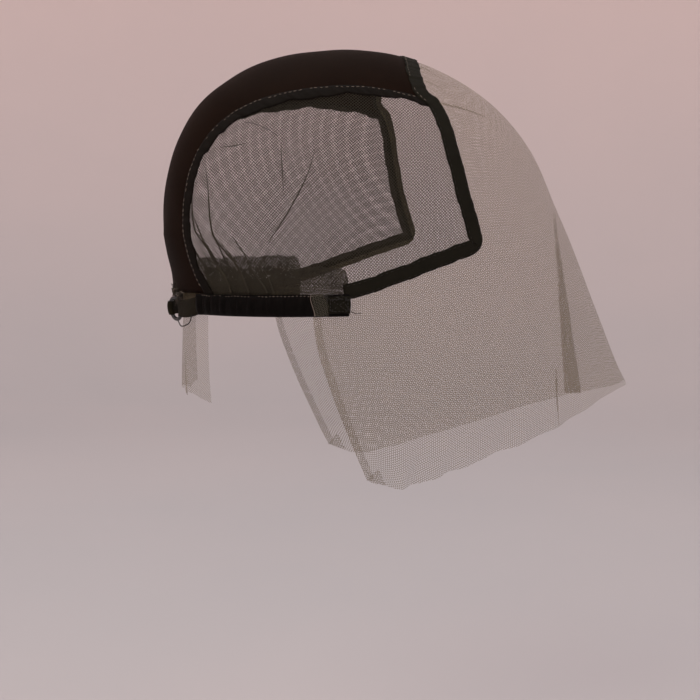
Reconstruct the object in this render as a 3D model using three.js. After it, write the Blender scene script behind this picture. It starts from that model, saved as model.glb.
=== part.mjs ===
// A lace wig base in the form it keeps when worn: a sheer lace front from ear to ear, a stretch strip over
// the crown, a gathered net on each side, ribbon bindings, an elastic nape band with a ring, and a short nape
// lace. Millimetres. +X faces forward, +Z is up, -Y is the wearer's right. The origin is the crown of the
// inner form.
import * as THREE from "three";

// Inner form of the upper cap: reaches at its widest level, and superellipse powers (2 is an ellipse)
const widestDrop = 88;
const upper = {
  front: { reach: 98.5, power: 1.87 },
  back: { reach: 91, power: 2.48 },
  side: { reach: 76, power: 2.35 },
};
const planPower = 2.25;

// Inner form below the widest level: reach to the back and side at each drop below the crown
const lowerSections = [
  { drop: widestDrop, back: upper.back.reach, side: upper.side.reach },
  { drop: 100, back: 88.5, side: 76 },
  { drop: 115, back: 84.5, side: 75 },
  { drop: 135, back: 83, side: 72.5 },
  { drop: 160, back: 81, side: 67.5 },
  { drop: 190, back: 77, side: 58 },
  { drop: 225, back: 72, side: 45 },
];

// Front of the inner form from the level where the lace leaves the forehead and falls straight: its reach, and
// the power of its plan, which grows more pointed downwards
const frontFall = [
  { drop: 62, reach: 92.98, power: planPower },
  { drop: 76, reach: 99.1, power: planPower },
  { drop: 88, reach: 105.1, power: 2.2 },
  { drop: 100, reach: 110.8, power: 2.12 },
  { drop: 115, reach: 117.7, power: 2 },
  { drop: 135, reach: 126.8, power: 1.83 },
  { drop: 160, reach: 137.4, power: 1.65 },
  { drop: 190, reach: 153.5, power: 1.55 },
  { drop: 225, reach: 172, power: 1.5 },
];

// Layers of cloth, as distances outside the inner form
const layers = {
  lining: { inner: 0, outer: 1 },
  panel: { inner: 1.3, outer: 2.3 },
  binding: { inner: 2.6, outer: 3.6 },
  casing: { inner: 2.6, outer: 4.2 },
  tab: { inner: 4.5, outer: 5.5 },
};
const seamClear = 0.8; // each panel stops this far short of a seam's line
const bindingClear = 0.4; // a binding's end stops this far short of what it runs into

// Hairline ribbon, right half: over the crown in plan, down the temple and back to the ear in side view
const ribbonWidth = 7;
const ribbonOverCrown = [
  { x: 26, y: 0 },
  { x: 25, y: 14 },
  { x: 23, y: 28 },
  { x: 21, y: 46 },
  { x: 22.2, y: 54.5 },
  { x: 27.2, y: 57.6 },
];
const ribbonDownTemple = [
  { x: 30.3, drop: 35.7 },
  { x: 32.8, drop: 46.8 },
  { x: 38.1, drop: 69.6 },
  { x: 45, drop: 91.8 },
];
const ribbonToEar = [
  { x: 29, drop: 97 },
  { x: 3.3, drop: 106.2 },
  { x: -14.1, drop: 111.8 },
  { x: -31.4, drop: 114 },
];

// Crown strip: half width at each turn about the ear-to-ear axis, from the front ribbon to the nape
const stripWidths = [
  { turn: 67.3, half: 57.6 },
  { turn: 82, half: 57.2 },
  { turn: 98, half: 55.2 },
  { turn: 114, half: 53 },
  { turn: 127, half: 48.8 },
  { turn: 137, half: 44 },
  { turn: 147, half: 39 },
  { turn: 160, half: 35.3 },
  { turn: 174, half: 34.6 },
  { turn: 188, half: 36.2 },
  { turn: 198.8, half: 40 },
];
const stripBend = 138; // turn at which its long edge rounds from the top to the back
const stripEnd = { drop: 114.4, dip: 1.2 }; // cut end at the nape, a little lower in the middle
const seamWidths = { onStrip: 1, onNet: 5.2 };

// Nape band
const casing = { top: 113, bottom: 122.9, frontBearing: 101.2, rearBearing: 155.8, rearLower: 1.3 };
const ruffle = { depth: 0.45, pitch: 5.4, flatBeforeTab: 4 }; // flat under the ear tab
const napeNet = { top: 100.8, bottom: 112.4, frontBearing: 101.5, rearBearing: 151 };
const earTab = { top: 113.8, bottom: 121.2, frontBearing: 100.9, rearBearing: 108.3 };
const ring = { centreRadius: 4.9, wire: 1.3, drop: 123.7, bearing: 178, standOff: 5.4, twist: 20 };
const strap = {
  thick: 1,
  wide: 8.4,
  wideAtRing: 5,
  drop: 121, // at the casing's end
  clear: 0.4, // from the ring's wire
  pastCasing: 0.6, // degrees of bearing between the casing's end and the strap
  ringBearing: 171, // where it leaves the head for the ring
  outerHeight: 4.1, // of its two layers above the form
  innerHeight: 2.7,
  besideBar: 1, // run along the ring's plane before it turns
};
const strapStations = [0, 0.5, 1]; // shares of its run over the head
const strapBend = [60, 20, -20, -60]; // degrees round the ring's wire
const napeLace = { top: 109, bottom: 165.6, halfBearing: 26.8, setInAtTop: 1.6, flareAtHem: 2.6 };

// Front lace: rear edge in side view, and hem by bearing from straight ahead
const laceRearEdge = [
  { x: -31.4, drop: 115 },
  { x: -27.8, drop: 139 },
  { x: -22.8, drop: 154.3 },
  { x: -14.3, drop: 175.8 },
  { x: -2.7, drop: 201.5 },
];
const laceHem = [
  { bearing: 92.9, drop: 201.5 },
  { bearing: 75, drop: 206 },
  { bearing: 61, drop: 202.8 },
  { bearing: 40.3, drop: 192.7 },
  { bearing: 23.2, drop: 180.6 },
  { bearing: 15.4, drop: 172.1 },
  { bearing: 6.9, drop: 166.5 },
  { bearing: 0, drop: 164.3 },
];
const browDrop = 79; // level of the brow line at the middle of the forehead
const hemBelowTemple = 0.33; // share of the half hem that hangs behind the temple corner

// Folds of the hanging lace: ridges that grow from a top place to the hem, by bearing and drop
const laceFolds = [
  { topBearing: -10.5, topDrop: 98, hemBearing: -12.8, hemDrop: 172, height: 4.5, width: 4.5 }, // left pleat
  { topBearing: 27, topDrop: 140, hemBearing: 23.2, hemDrop: 180, height: 2, width: 5 }, // right crease
  { topBearing: 105, topDrop: 126, hemBearing: 78, hemDrop: 180, height: 1.6, width: 5 }, // right cheek
  { topBearing: -105, topDrop: 126, hemBearing: -78, hemDrop: 180, height: 1.6, width: 5 }, // left cheek
];

// Gathers of each side net: ridges in side view, from an upper to a lower end
const netGathers = [
  { fromX: -79, fromDrop: 76, toX: -64, toDrop: 111, height: 2.2, width: 3.8 },
  { fromX: -70, fromDrop: 88, toX: -57.5, toDrop: 110, height: 2, width: 3.6 },
  { fromX: -63, fromDrop: 92, toX: -53, toDrop: 106, height: 1.8, width: 3.6 },
  { fromX: -39, fromDrop: 40, toX: -43.5, toDrop: 62, height: 1, width: 4 },
  { fromX: -28.5, fromDrop: 46, toX: -47.5, toDrop: 88, height: 1, width: 4.5 },
];
const gatherEnds = 0.15; // share of a half wave that a gather has lost at its two ends
const netSpan = { along: 100, up: 80 }; // rough size of a side net
const foldFade = { none: 5.5, full: 12 }; // a fold dies out between these distances from a bound edge
const netBunching = 1.3; // power that draws the net's grid towards its gathered rear

const finishes = {
  lace: { color: "#9a8478", roughness: 0.9 },
  net: { color: "#3b3630", roughness: 0.9 },
  strip: { color: "#2a201c", roughness: 0.55 },
  ribbon: { color: "#16130f", roughness: 0.7 },
  satin: { color: "#15110f", roughness: 0.5 },
  elastic: { color: "#3f3d34", roughness: 0.8 },
  plastic: { color: "#0d0d0e", roughness: 0.25 },
};

// Grid steps of the meshes
const steps = {
  crown: 18,
  temple: 11,
  ear: 13,
  laceDrop: 11,
  stripAlong: 16,
  stripAcross: 18,
  netAlong: 20,
  netUp: 15,
  seam: 30,
  casing: 30,
  napeNet: 9,
  tab: 3,
  napeLaceAcross: 12,
  napeLaceDown: 7,
  ringRound: 20,
  ringWire: 8,
  hem: 60,
  laceRear: 30,
};

const middle = new THREE.Vector3(0, 0, -widestDrop);
const right = -1;
const left = 1;

// Reaches and plan power of the inner form at a drop below the crown
const lowerForm = new THREE.CubicInterpolant(
  lowerSections.map((row) => row.drop),
  lowerSections.flatMap((row) => [row.back, row.side]),
  2,
);
const frontForm = new THREE.CubicInterpolant(
  frontFall.map((row) => row.drop),
  frontFall.flatMap((row) => [row.reach, row.power]),
  2,
);

function domeReach(bow, drop) {
  const rise = Math.min((widestDrop - drop) / widestDrop, 1);
  return bow.reach * Math.pow(1 - Math.pow(rise, bow.power), 1 / bow.power);
}

function sectionAt(drop) {
  const [front, frontPower] =
    drop > frontFall[0].drop ? frontForm.evaluate(drop) : [domeReach(upper.front, drop), planPower];
  const [back, side] =
    drop > widestDrop
      ? lowerForm.evaluate(drop)
      : [domeReach(upper.back, drop), domeReach(upper.side, drop)];
  return { front, back, side, frontPower };
}

// Below 1 inside the form, 1 on it, above 1 outside it
function fullness(point) {
  if (point.z >= 0) {
    return 2;
  }
  const section = sectionAt(-point.z);
  const power = point.x > 0 ? section.frontPower : planPower;
  const reach = point.x > 0 ? section.front : section.back;
  const along = Math.pow(Math.abs(point.x) / reach, power);
  const across = Math.pow(Math.abs(point.y) / section.side, power);
  return Math.pow(along + across, 1 / power);
}

// The last value up to limit at which pointAt(value) is still inside the form
function whereItLeaves(pointAt, limit) {
  let inside = 0;
  let outside = limit;
  for (let round = 0; round < 44; round += 1) {
    const half = (inside + outside) / 2;
    if (fullness(pointAt(half)) < 1) {
      inside = half;
    } else {
      outside = half;
    }
  }
  return inside;
}

const farOut = 300;

// The form's point on the ray from its middle through a point
function ontoForm(point) {
  const direction = point.clone().sub(middle).normalize();
  const rayAt = (reach) => middle.clone().addScaledVector(direction, reach);
  return rayAt(whereItLeaves(rayAt, farOut));
}

function sidePoint(x, drop) {
  const section = sectionAt(drop);
  const power = x > 0 ? section.frontPower : planPower;
  const reach = x > 0 ? section.front : section.back;
  const share = 1 - Math.pow(Math.abs(x) / reach, power);
  return new THREE.Vector3(x, right * section.side * Math.pow(share, 1 / power), -drop);
}

function topPoint(x, y) {
  const columnAt = (rise) => new THREE.Vector3(x, right * y, rise - widestDrop);
  return columnAt(whereItLeaves(columnAt, widestDrop));
}

function turnPoint(turn, y) {
  const angle = THREE.MathUtils.degToRad(turn);
  const spokeAt = (reach) =>
    new THREE.Vector3(reach * Math.cos(angle), right * y, reach * Math.sin(angle) - widestDrop);
  return spokeAt(whereItLeaves(spokeAt, farOut));
}

// Bearing 0 is straight ahead and 90 the wearer's right
function bearingPoint(bearing, drop) {
  const angle = THREE.MathUtils.degToRad(bearing);
  const spokeAt = (reach) =>
    new THREE.Vector3(reach * Math.cos(angle), right * reach * Math.sin(angle), -drop);
  return spokeAt(whereItLeaves(spokeAt, farOut));
}

function bearingOf(point) {
  return THREE.MathUtils.radToDeg(Math.atan2(right * point.y, point.x));
}

// Outward normal of the form at one of its points
function normalAt(point) {
  const reach = 0.6;
  const outward = point.clone().sub(middle).normalize();
  const helper = Math.abs(outward.y) < 0.8 ? new THREE.Vector3(0, 1, 0) : new THREE.Vector3(1, 0, 0);
  const across = new THREE.Vector3().crossVectors(helper, outward).normalize();
  const along = new THREE.Vector3().crossVectors(outward, across);
  const ahead = ontoForm(point.clone().addScaledVector(across, reach));
  const behind = ontoForm(point.clone().addScaledVector(across, -reach));
  const above = ontoForm(point.clone().addScaledVector(along, reach));
  const below = ontoForm(point.clone().addScaledVector(along, -reach));
  return ahead.sub(behind).cross(above.sub(below)).normalize();
}

function mirrored(point) {
  return new THREE.Vector3(point.x, -point.y, point.z);
}

// Evenly spaced points of the form along a smooth curve through a few of its points
function tracedPath(points, count) {
  const curve = new THREE.CatmullRomCurve3(points, false, "centripetal");
  return curve.getSpacedPoints(count).map(ontoForm);
}

// A path moved sideways over the form, mitred at its corners. Positive is to the left of its run, seen from
// outside
function shifted(path, distance) {
  return path.map((point, index) => {
    const normal = normalAt(point);
    const sideways = (from, to) => {
      const run = to.clone().sub(from);
      return new THREE.Vector3().crossVectors(normal, run).normalize();
    };
    const before = index > 0 ? sideways(path[index - 1], point) : null;
    const after = index < path.length - 1 ? sideways(point, path[index + 1]) : null;
    const first = before ?? after;
    const second = after ?? before;
    const mitre = first.clone().add(second).normalize();
    const stretch = distance / mitre.dot(second);
    return ontoForm(point.clone().addScaledVector(mitre, stretch));
  });
}

// A function from 0 to 1 along a path, between two places counted in steps of the path
function along(path, from, to) {
  return (share) => {
    const place = THREE.MathUtils.clamp(from + share * (to - from), 0, path.length - 1);
    const index = Math.min(Math.floor(place), path.length - 2);
    return path[index].clone().lerp(path[index + 1], place - index);
  };
}

function inTurn(first, second, share) {
  return (t) => (t < share ? first(t / share) : second((t - share) / (1 - share)));
}

// A patch of the form between four edges that meet at their ends, as a function of two shares
function patch(bottom, top, start, end) {
  return (u, v) => {
    const point = new THREE.Vector3();
    point.addScaledVector(bottom(u), 1 - v);
    point.addScaledVector(top(u), v);
    point.addScaledVector(start(v), 1 - u);
    point.addScaledVector(end(v), u);
    point.addScaledVector(bottom(0), -(1 - u) * (1 - v));
    point.addScaledVector(bottom(1), -u * (1 - v));
    point.addScaledVector(top(0), -(1 - u) * v);
    point.addScaledVector(top(1), -u * v);
    return ontoForm(point);
  };
}

function signedVolume(corners, faces) {
  let volume = 0;
  for (let f = 0; f < faces.length; f += 3) {
    const [a, b, c] = [0, 1, 2].map((k) => corners[faces[f + k]]);
    volume += a.dot(new THREE.Vector3().crossVectors(b, c)) / 6;
  }
  return volume;
}

function closedGeometry(corners, faces) {
  const ordered = signedVolume(corners, faces) < 0 ? faces.toReversed() : faces;
  const geometry = new THREE.BufferGeometry();
  geometry.setFromPoints(corners);
  geometry.setIndex(ordered);
  geometry.computeVertexNormals();
  return geometry;
}

// A closed wall of cloth over a grid. place(i, j) gives a grid point's inner and outer point, and
// covered(i, j) says which cells of the grid are cloth
function clothWall(columns, rows, place, covered = () => true) {
  const corners = [];
  const faces = [];
  const numbers = new Map();
  const cornerOf = (i, j) => {
    const key = `${i},${j}`;
    if (!numbers.has(key)) {
      numbers.set(key, corners.length);
      const { inner, outer } = place(i, j);
      corners.push(inner, outer);
    }
    return numbers.get(key);
  };
  const has = (i, j) => i >= 0 && j >= 0 && i < columns && j < rows && covered(i, j);
  const edge = (a, b) => faces.push(a, b, b + 1, a, b + 1, a + 1);
  for (let i = 0; i < columns; i += 1) {
    for (let j = 0; j < rows; j += 1) {
      if (!has(i, j)) {
        continue;
      }
      const a = cornerOf(i, j);
      const b = cornerOf(i + 1, j);
      const c = cornerOf(i + 1, j + 1);
      const d = cornerOf(i, j + 1);
      faces.push(a + 1, b + 1, c + 1, a + 1, c + 1, d + 1);
      faces.push(c, b, a, d, c, a);
      const sides = [
        [a, b, i, j - 1],
        [b, c, i + 1, j],
        [c, d, i, j + 1],
        [d, a, i - 1, j],
      ];
      sides.filter(([, , nextI, nextJ]) => !has(nextI, nextJ)).forEach(([from, to]) => edge(from, to));
    }
  }
  return closedGeometry(corners, faces);
}

// A grid point's place in a layer of cloth, raised by its folds, on either side of the cap
function inLayer(point, layer, rise = 0, side = right) {
  const normal = normalAt(point);
  const inner = point.clone().addScaledVector(normal, layer.inner + rise);
  const outer = point.clone().addScaledVector(normal, layer.outer + rise);
  return side === right ? { inner, outer } : { inner: mirrored(inner), outer: mirrored(outer) };
}

const wigBase = new THREE.Group();

function addPiece(name, geometry, finish) {
  const mesh = new THREE.Mesh(geometry, new THREE.MeshStandardMaterial({ ...finish, metalness: 0 }));
  mesh.name = name;
  wigBase.add(mesh);
}

function addPair(name, build, finish) {
  addPiece(`${name}_right`, build(right), finish);
  addPiece(`${name}_left`, build(left), finish);
}

const sideOf = (rows) => rows.map((row) => sidePoint(row.x, row.drop));

// Hairline: the line that the ribbon covers, from the right ear over the crown to the left ear
const crownRun = ribbonOverCrown.map((row) => topPoint(row.x, row.y));
const jointPoint = crownRun[crownRun.length - 1];
const templeRun = [jointPoint, ...sideOf(ribbonDownTemple)];
const cornerPoint = templeRun[templeRun.length - 1];
const earRun = [cornerPoint, ...sideOf(ribbonToEar)];
const rightHalf = [
  ...tracedPath(earRun.toReversed(), steps.ear),
  ...tracedPath(templeRun.toReversed(), steps.temple).slice(1),
  ...tracedPath(crownRun.toReversed(), steps.crown).slice(1),
];
const hairline = [...rightHalf, ...rightHalf.slice(0, -1).toReversed().map(mirrored)];
const cornerAt = steps.ear;
const jointAt = cornerAt + steps.temple;
const crownAt = jointAt + steps.crown;
const hairlineEnd = 2 * crownAt;
const ribbonEndAt = 3; // the ribbon ends here, where the casing takes over
const capEdge = shifted(hairline, seamClear);
const laceEdge = shifted(hairline, -seamClear);

// Seam between the strip and the right net, from the front ribbon to the nape
const stripRows = stripWidths.map((row) => turnPoint(row.turn, row.half));
const seamLine = tracedPath(stripRows, steps.seam);
const seamTurn = (point) => {
  const turn = THREE.MathUtils.radToDeg(Math.atan2(point.z + widestDrop, point.x));
  return turn < 0 ? turn + 360 : turn;
};
const bendAt = seamLine.findIndex((point) => seamTurn(point) > stripBend);
const cornerAside = { strip: 0.25, net: 0.12 }; // hairline steps from the joint to each panel's corner
const stripCornerAt = jointAt + cornerAside.strip;
const netCornerAt = jointAt - cornerAside.net;
const stripCorner = along(capEdge, stripCornerAt, jointAt + 1)(0);
const netCorner = along(capEdge, jointAt - 1, netCornerAt)(1);
const stripSide = [stripCorner, ...shifted(seamLine, -seamClear).slice(1)];
const netSide = [netCorner, ...shifted(seamLine, seamClear).slice(1)];

function buildStrip() {
  const seamEnd = stripSide.length - 1;
  const rightEnd = bearingOf(stripSide[seamEnd]);
  const acrossFront = along(capEdge, stripCornerAt, hairlineEnd - stripCornerAt);
  const acrossNape = (t) => {
    const lower = stripEnd.dip * Math.sin(Math.PI * t);
    return bearingPoint(rightEnd + t * 2 * (180 - rightEnd), stripEnd.drop + lower);
  };
  const downRight = along(stripSide, 0, seamEnd);
  const downLeft = (t) => mirrored(downRight(t));
  const strip = patch(acrossFront, acrossNape, downRight, downLeft);
  return clothWall(steps.stripAcross, steps.stripAlong, (i, j) =>
    inLayer(strip(i / steps.stripAcross, j / steps.stripAlong), layers.panel),
  );
}

// How far a ridge from one end to the other, in side view, lifts a point
function gatherRise(fold, point) {
  const run = new THREE.Vector2(fold.toX - fold.fromX, fold.fromDrop - fold.toDrop);
  const offset = new THREE.Vector2(point.x - fold.fromX, point.z + fold.fromDrop);
  const share = THREE.MathUtils.clamp(offset.dot(run) / run.lengthSq(), 0, 1);
  const away = offset.addScaledVector(run, -share).length();
  const wave = Math.sin(Math.PI * THREE.MathUtils.lerp(gatherEnds, 1 - gatherEnds, share));
  return fold.height * wave * Math.exp(-((away / fold.width) ** 2));
}

function buildNet(side) {
  const seamEnd = netSide.length - 1;
  const napeEnd = netSide[seamEnd];
  const napeCurve = [bearingOf(napeEnd), bearingOf(capEdge[0])];
  const napeDrops = [-napeEnd.z, -capEdge[0].z];
  const nape = (t) =>
    bearingPoint(
      THREE.MathUtils.lerp(...napeCurve, t),
      THREE.MathUtils.lerp(...napeDrops, t),
    );
  const napeShare = 0.5; // share of the bottom edge that lies behind the ear
  const bottom = inTurn(nape, along(capEdge, 0, cornerAt), napeShare);
  const top = along(netSide, bendAt, 0);
  const rear = along(netSide, seamEnd, bendAt);
  const front = along(capEdge, cornerAt, netCornerAt);
  const net = patch(bottom, top, rear, front);
  return clothWall(steps.netAlong, steps.netUp, (i, j) => {
    const u = (i / steps.netAlong) ** netBunching;
    const v = j / steps.netUp;
    const point = net(u, v);
    const toEdge = Math.min(Math.min(u, 1 - u) * netSpan.along, Math.min(v, 1 - v) * netSpan.up);
    const fade = THREE.MathUtils.smoothstep(toEdge, foldFade.none, foldFade.full);
    const rise = netGathers.reduce((sum, fold) => sum + gatherRise(fold, point), 0);
    return inLayer(point, layers.panel, fade * rise, side);
  });
}

// A flat binding between two edge paths, one cell wide
function bindingStrip(firstEdge, secondEdge, layer, side = right) {
  const count = firstEdge.length - 1;
  return clothWall(count, 1, (i, j) => inLayer(j === 0 ? firstEdge[i] : secondEdge[i], layer, 0, side));
}

function buildHairlineRibbon() {
  const kept = (path) => path.slice(ribbonEndAt, path.length - ribbonEndAt);
  const outer = kept(shifted(hairline, -ribbonWidth / 2));
  const inner = kept(shifted(hairline, ribbonWidth / 2));
  return bindingStrip(outer, inner, layers.binding);
}

// The seam's binding runs between the hairline ribbon and the nape casing
function buildSeam(side) {
  const clearOfRibbon = (point) =>
    hairline.every((mark) => mark.distanceTo(point) > ribbonWidth / 2 + bindingClear);
  const clearOfCasing = (point) => -point.z < casing.top - bindingClear;
  const trimmed = (distance) => {
    const path = shifted(tracedPath(stripRows, steps.seam * 8), distance);
    const kept = path.filter((point) => clearOfRibbon(point) && clearOfCasing(point));
    const edge = along(kept, 0, kept.length - 1);
    return Array.from({ length: steps.seam + 1 }, (_, i) => ontoForm(edge(i / steps.seam)));
  };
  return bindingStrip(trimmed(seamWidths.onNet), trimmed(-seamWidths.onStrip), layers.binding, side);
}

// A strip of cloth between two bearings and two drops, rising by a function of its own
function bandGeometry(band, layer, columns, rows, side, rise = () => 0) {
  return clothWall(columns, rows, (i, j) => {
    const bearing = THREE.MathUtils.lerp(band.rearBearing, band.frontBearing, i / columns);
    const lower = (band.rearLower ?? 0) * (1 - i / columns);
    const point = bearingPoint(bearing, THREE.MathUtils.lerp(band.bottom, band.top, j / rows) + lower);
    return inLayer(point, layer, rise(point, j / rows), side);
  });
}

function buildCasing(side) {
  const ruffled = (point, v) => {
    const bearing = bearingOf(point);
    const around = THREE.MathUtils.degToRad(bearing) * upper.back.reach;
    const wave = 1 + Math.sin((2 * Math.PI * around) / ruffle.pitch);
    const flat = earTab.rearBearing + 1;
    const grown = THREE.MathUtils.smoothstep(bearing, flat, flat + ruffle.flatBeforeTab);
    return grown * ruffle.depth * Math.sin(Math.PI * v) * wave;
  };
  return bandGeometry(casing, layers.casing, steps.casing, 2, side, ruffled);
}

function buildNapeLace() {
  const { napeLaceAcross, napeLaceDown } = steps;
  return clothWall(napeLaceAcross, napeLaceDown, (i, j) => {
    const v = j / napeLaceDown;
    const bearing = 180 + napeLace.halfBearing * ((2 * i) / napeLaceAcross - 1);
    const point = bearingPoint(bearing, THREE.MathUtils.lerp(napeLace.top, napeLace.bottom, v));
    const flare = THREE.MathUtils.lerp(-napeLace.setInAtTop, napeLace.flareAtHem, v);
    return inLayer(point, layers.lining, flare);
  });
}

// How far a ridge of the hanging lace lifts a point
function laceRise(fold, point) {
  const share = (-point.z - fold.topDrop) / (fold.hemDrop - fold.topDrop);
  if (share <= 0) {
    return 0;
  }
  const bearing = THREE.MathUtils.lerp(fold.topBearing, fold.hemBearing, Math.min(share, 1));
  const reach = Math.hypot(point.x, point.y);
  const away = THREE.MathUtils.degToRad(bearingOf(point) - bearing) * reach;
  return fold.height * Math.min(share, 1) * Math.exp(-((away / fold.width) ** 2));
}

function buildFrontLace() {
  const columns = 2 * (steps.ear + steps.crown);
  const rows = steps.temple + steps.laceDrop;
  const firstTemple = steps.ear;
  const lastTemple = columns - steps.ear;
  const templeCorner = laceEdge[cornerAt];

  // The forehead, from the crown ribbon down to a line across the brow
  const browHalf = (t) => {
    const bearing = THREE.MathUtils.lerp(bearingOf(templeCorner), 0, t);
    const level = Math.cos((Math.PI / 2) * t) ** 2;
    return bearingPoint(bearing, THREE.MathUtils.lerp(browDrop, -templeCorner.z, level));
  };
  const brow = (t) => (t < 0.5 ? browHalf(2 * t) : mirrored(browHalf(2 - 2 * t)));
  const acrossCrown = along(laceEdge, jointAt, hairlineEnd - jointAt);
  const downTemple = along(laceEdge, jointAt, cornerAt);
  const forehead = patch(acrossCrown, brow, downTemple, (t) => mirrored(downTemple(t)));

  // The free fall, from the ear ribbons and the brow line down to the hem
  const hemPath = tracedPath(laceHem.map((row) => bearingPoint(row.bearing, row.drop)), steps.hem);
  const hemHalf = along(hemPath, 0, steps.hem);
  const hem = (t) => {
    const half = t < 0.5 ? 2 * t : 2 - 2 * t;
    const templeShare = (2 * steps.ear) / columns;
    const place =
      half < templeShare
        ? (half / templeShare) * hemBelowTemple
        : hemBelowTemple + ((half - templeShare) / (1 - templeShare)) * (1 - hemBelowTemple);
    return t < 0.5 ? hemHalf(place) : mirrored(hemHalf(place));
  };
  const underEar = along(laceEdge, 0, cornerAt);
  const upperEdge = (t) => {
    const column = t * columns;
    if (column <= firstTemple) {
      return underEar(column / firstTemple);
    }
    if (column >= lastTemple) {
      return mirrored(underEar((columns - column) / firstTemple));
    }
    return brow((column - firstTemple) / (lastTemple - firstTemple));
  };
  const rearPath = tracedPath(sideOf(laceRearEdge), steps.laceRear);
  rearPath[0] = laceEdge[0];
  rearPath[steps.laceRear] = hemPath[0];
  const rearRight = along(rearPath, 0, steps.laceRear);
  const fall = patch(upperEdge, hem, rearRight, (t) => mirrored(rearRight(t)));

  const place = (i, j) => {
    const point =
      j < steps.temple
        ? forehead((i - firstTemple) / (lastTemple - firstTemple), j / steps.temple)
        : fall(i / columns, (j - steps.temple) / steps.laceDrop);
    const rise = laceFolds.reduce((sum, fold) => sum + laceRise(fold, point), 0);
    return inLayer(point, layers.panel, rise);
  };
  const covered = (i, j) => j >= steps.temple || (i >= firstTemple && i < lastTemple);
  return clothWall(columns, rows, place, covered);
}

// The ring's frame: its centre, its sideways direction towards the wearer's right, and its outward normal
const ringSeat = bearingPoint(ring.bearing, ring.drop);
const ringTurn = THREE.MathUtils.degToRad(ring.bearing - ring.twist);
const ringOut = new THREE.Vector3(Math.cos(ringTurn), right * Math.sin(ringTurn), 0);
const ringSide = new THREE.Vector3(-ringOut.y * right, ringOut.x * right, 0).negate();
const ringCentre = ringSeat.clone().addScaledVector(normalAt(ringSeat).setZ(0).normalize(), ring.standOff);

function buildRing() {
  const geometry = new THREE.TorusGeometry(ring.centreRadius, ring.wire, steps.ringWire, steps.ringRound);
  const up = new THREE.Vector3(0, 0, 1);
  const turn = new THREE.Matrix4().makeBasis(new THREE.Vector3().crossVectors(up, ringOut), up, ringOut);
  return geometry.applyMatrix4(turn.setPosition(ringCentre));
}

// Elastic that leaves the casing's end, passes round the ring's bar and comes back under itself
function buildStrap(side) {
  const sign = side === right ? 1 : -1;
  const bar = Math.sqrt(ring.centreRadius ** 2 - (strap.wideAtRing / 2) ** 2);
  const lift = ring.wire + strap.clear + strap.thick / 2;
  const atRing = (sideways, outwards) => {
    const point = ringCentre
      .clone()
      .addScaledVector(ringSide, sign * sideways)
      .addScaledVector(ringOut, outwards);
    return { point, wide: strap.wideAtRing };
  };
  const overHead = (share, height) => {
    const bearing = THREE.MathUtils.lerp(casing.rearBearing + strap.pastCasing, strap.ringBearing, share);
    const seat = bearingPoint(bearing, THREE.MathUtils.lerp(strap.drop, ring.drop, share));
    const point = seat.clone().addScaledVector(normalAt(seat).setZ(0).normalize(), height);
    const wide = THREE.MathUtils.lerp(strap.wide, strap.wideAtRing, share);
    return { point: side === right ? point : mirrored(point), wide };
  };
  const line = [
    ...strapStations.map((share) => overHead(share, strap.outerHeight)),
    atRing(bar + strap.besideBar, lift),
    atRing(bar, lift),
    ...strapBend.map((degrees) => {
      const angle = THREE.MathUtils.degToRad(degrees);
      return atRing(bar - lift * Math.cos(angle), lift * Math.sin(angle));
    }),
    atRing(bar, -lift),
    atRing(bar + strap.besideBar, -lift),
    ...strapStations.toReversed().map((share) => overHead(share, strap.innerHeight)),
  ];
  const last = line.length - 1;
  const across = line.map((_, index) => {
    const before = line[Math.max(index - 1, 0)].point;
    const after = line[Math.min(index + 1, last)].point;
    return new THREE.Vector3(before.y - after.y, after.x - before.x, 0).normalize();
  });
  return clothWall(last, 1, (i, j) => {
    const edge = line[i].point.clone();
    edge.z += (j - 0.5) * line[i].wide;
    return {
      inner: edge.clone().addScaledVector(across[i], -strap.thick / 2),
      outer: edge.clone().addScaledVector(across[i], strap.thick / 2),
    };
  });
}

const buildNapeNet = (side) => bandGeometry(napeNet, layers.lining, steps.napeNet, 3, side);
const buildEarTab = (side) => bandGeometry(earTab, layers.tab, steps.tab, steps.tab, side);

addPiece("front_lace", buildFrontLace(), finishes.lace);
addPiece("crown_strip", buildStrip(), finishes.strip);
addPair("side_net", buildNet, finishes.net);
addPair("crown_seam", buildSeam, finishes.ribbon);
addPiece("hairline_ribbon", buildHairlineRibbon(), finishes.ribbon);
addPair("nape_net", buildNapeNet, finishes.net);
addPair("nape_casing", buildCasing, finishes.satin);
addPair("nape_strap", buildStrap, finishes.elastic);
addPiece("nape_ring", buildRing(), finishes.plastic);
addPair("ear_tab", buildEarTab, finishes.ribbon);
addPiece("nape_lace", buildNapeLace(), finishes.lace);

export default wigBase;
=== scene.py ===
# Lace wig base: cloth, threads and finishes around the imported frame
import math
from types import SimpleNamespace

import bmesh
import bpy
import numpy as np
from mathutils import Matrix, Vector


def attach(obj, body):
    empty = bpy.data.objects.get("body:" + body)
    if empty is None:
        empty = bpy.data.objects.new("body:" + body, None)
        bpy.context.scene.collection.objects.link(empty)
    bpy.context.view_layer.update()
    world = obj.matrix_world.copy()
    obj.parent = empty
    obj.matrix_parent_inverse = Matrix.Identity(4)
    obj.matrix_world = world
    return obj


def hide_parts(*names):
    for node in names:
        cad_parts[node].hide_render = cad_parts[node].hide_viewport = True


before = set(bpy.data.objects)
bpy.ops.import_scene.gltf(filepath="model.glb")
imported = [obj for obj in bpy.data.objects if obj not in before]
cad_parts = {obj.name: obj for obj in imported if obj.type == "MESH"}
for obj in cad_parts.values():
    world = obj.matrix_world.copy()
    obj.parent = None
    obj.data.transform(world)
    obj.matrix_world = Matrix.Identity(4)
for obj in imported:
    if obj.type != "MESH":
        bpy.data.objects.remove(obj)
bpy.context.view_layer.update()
mm = 0.001  # the tables below are in millimetres
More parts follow.
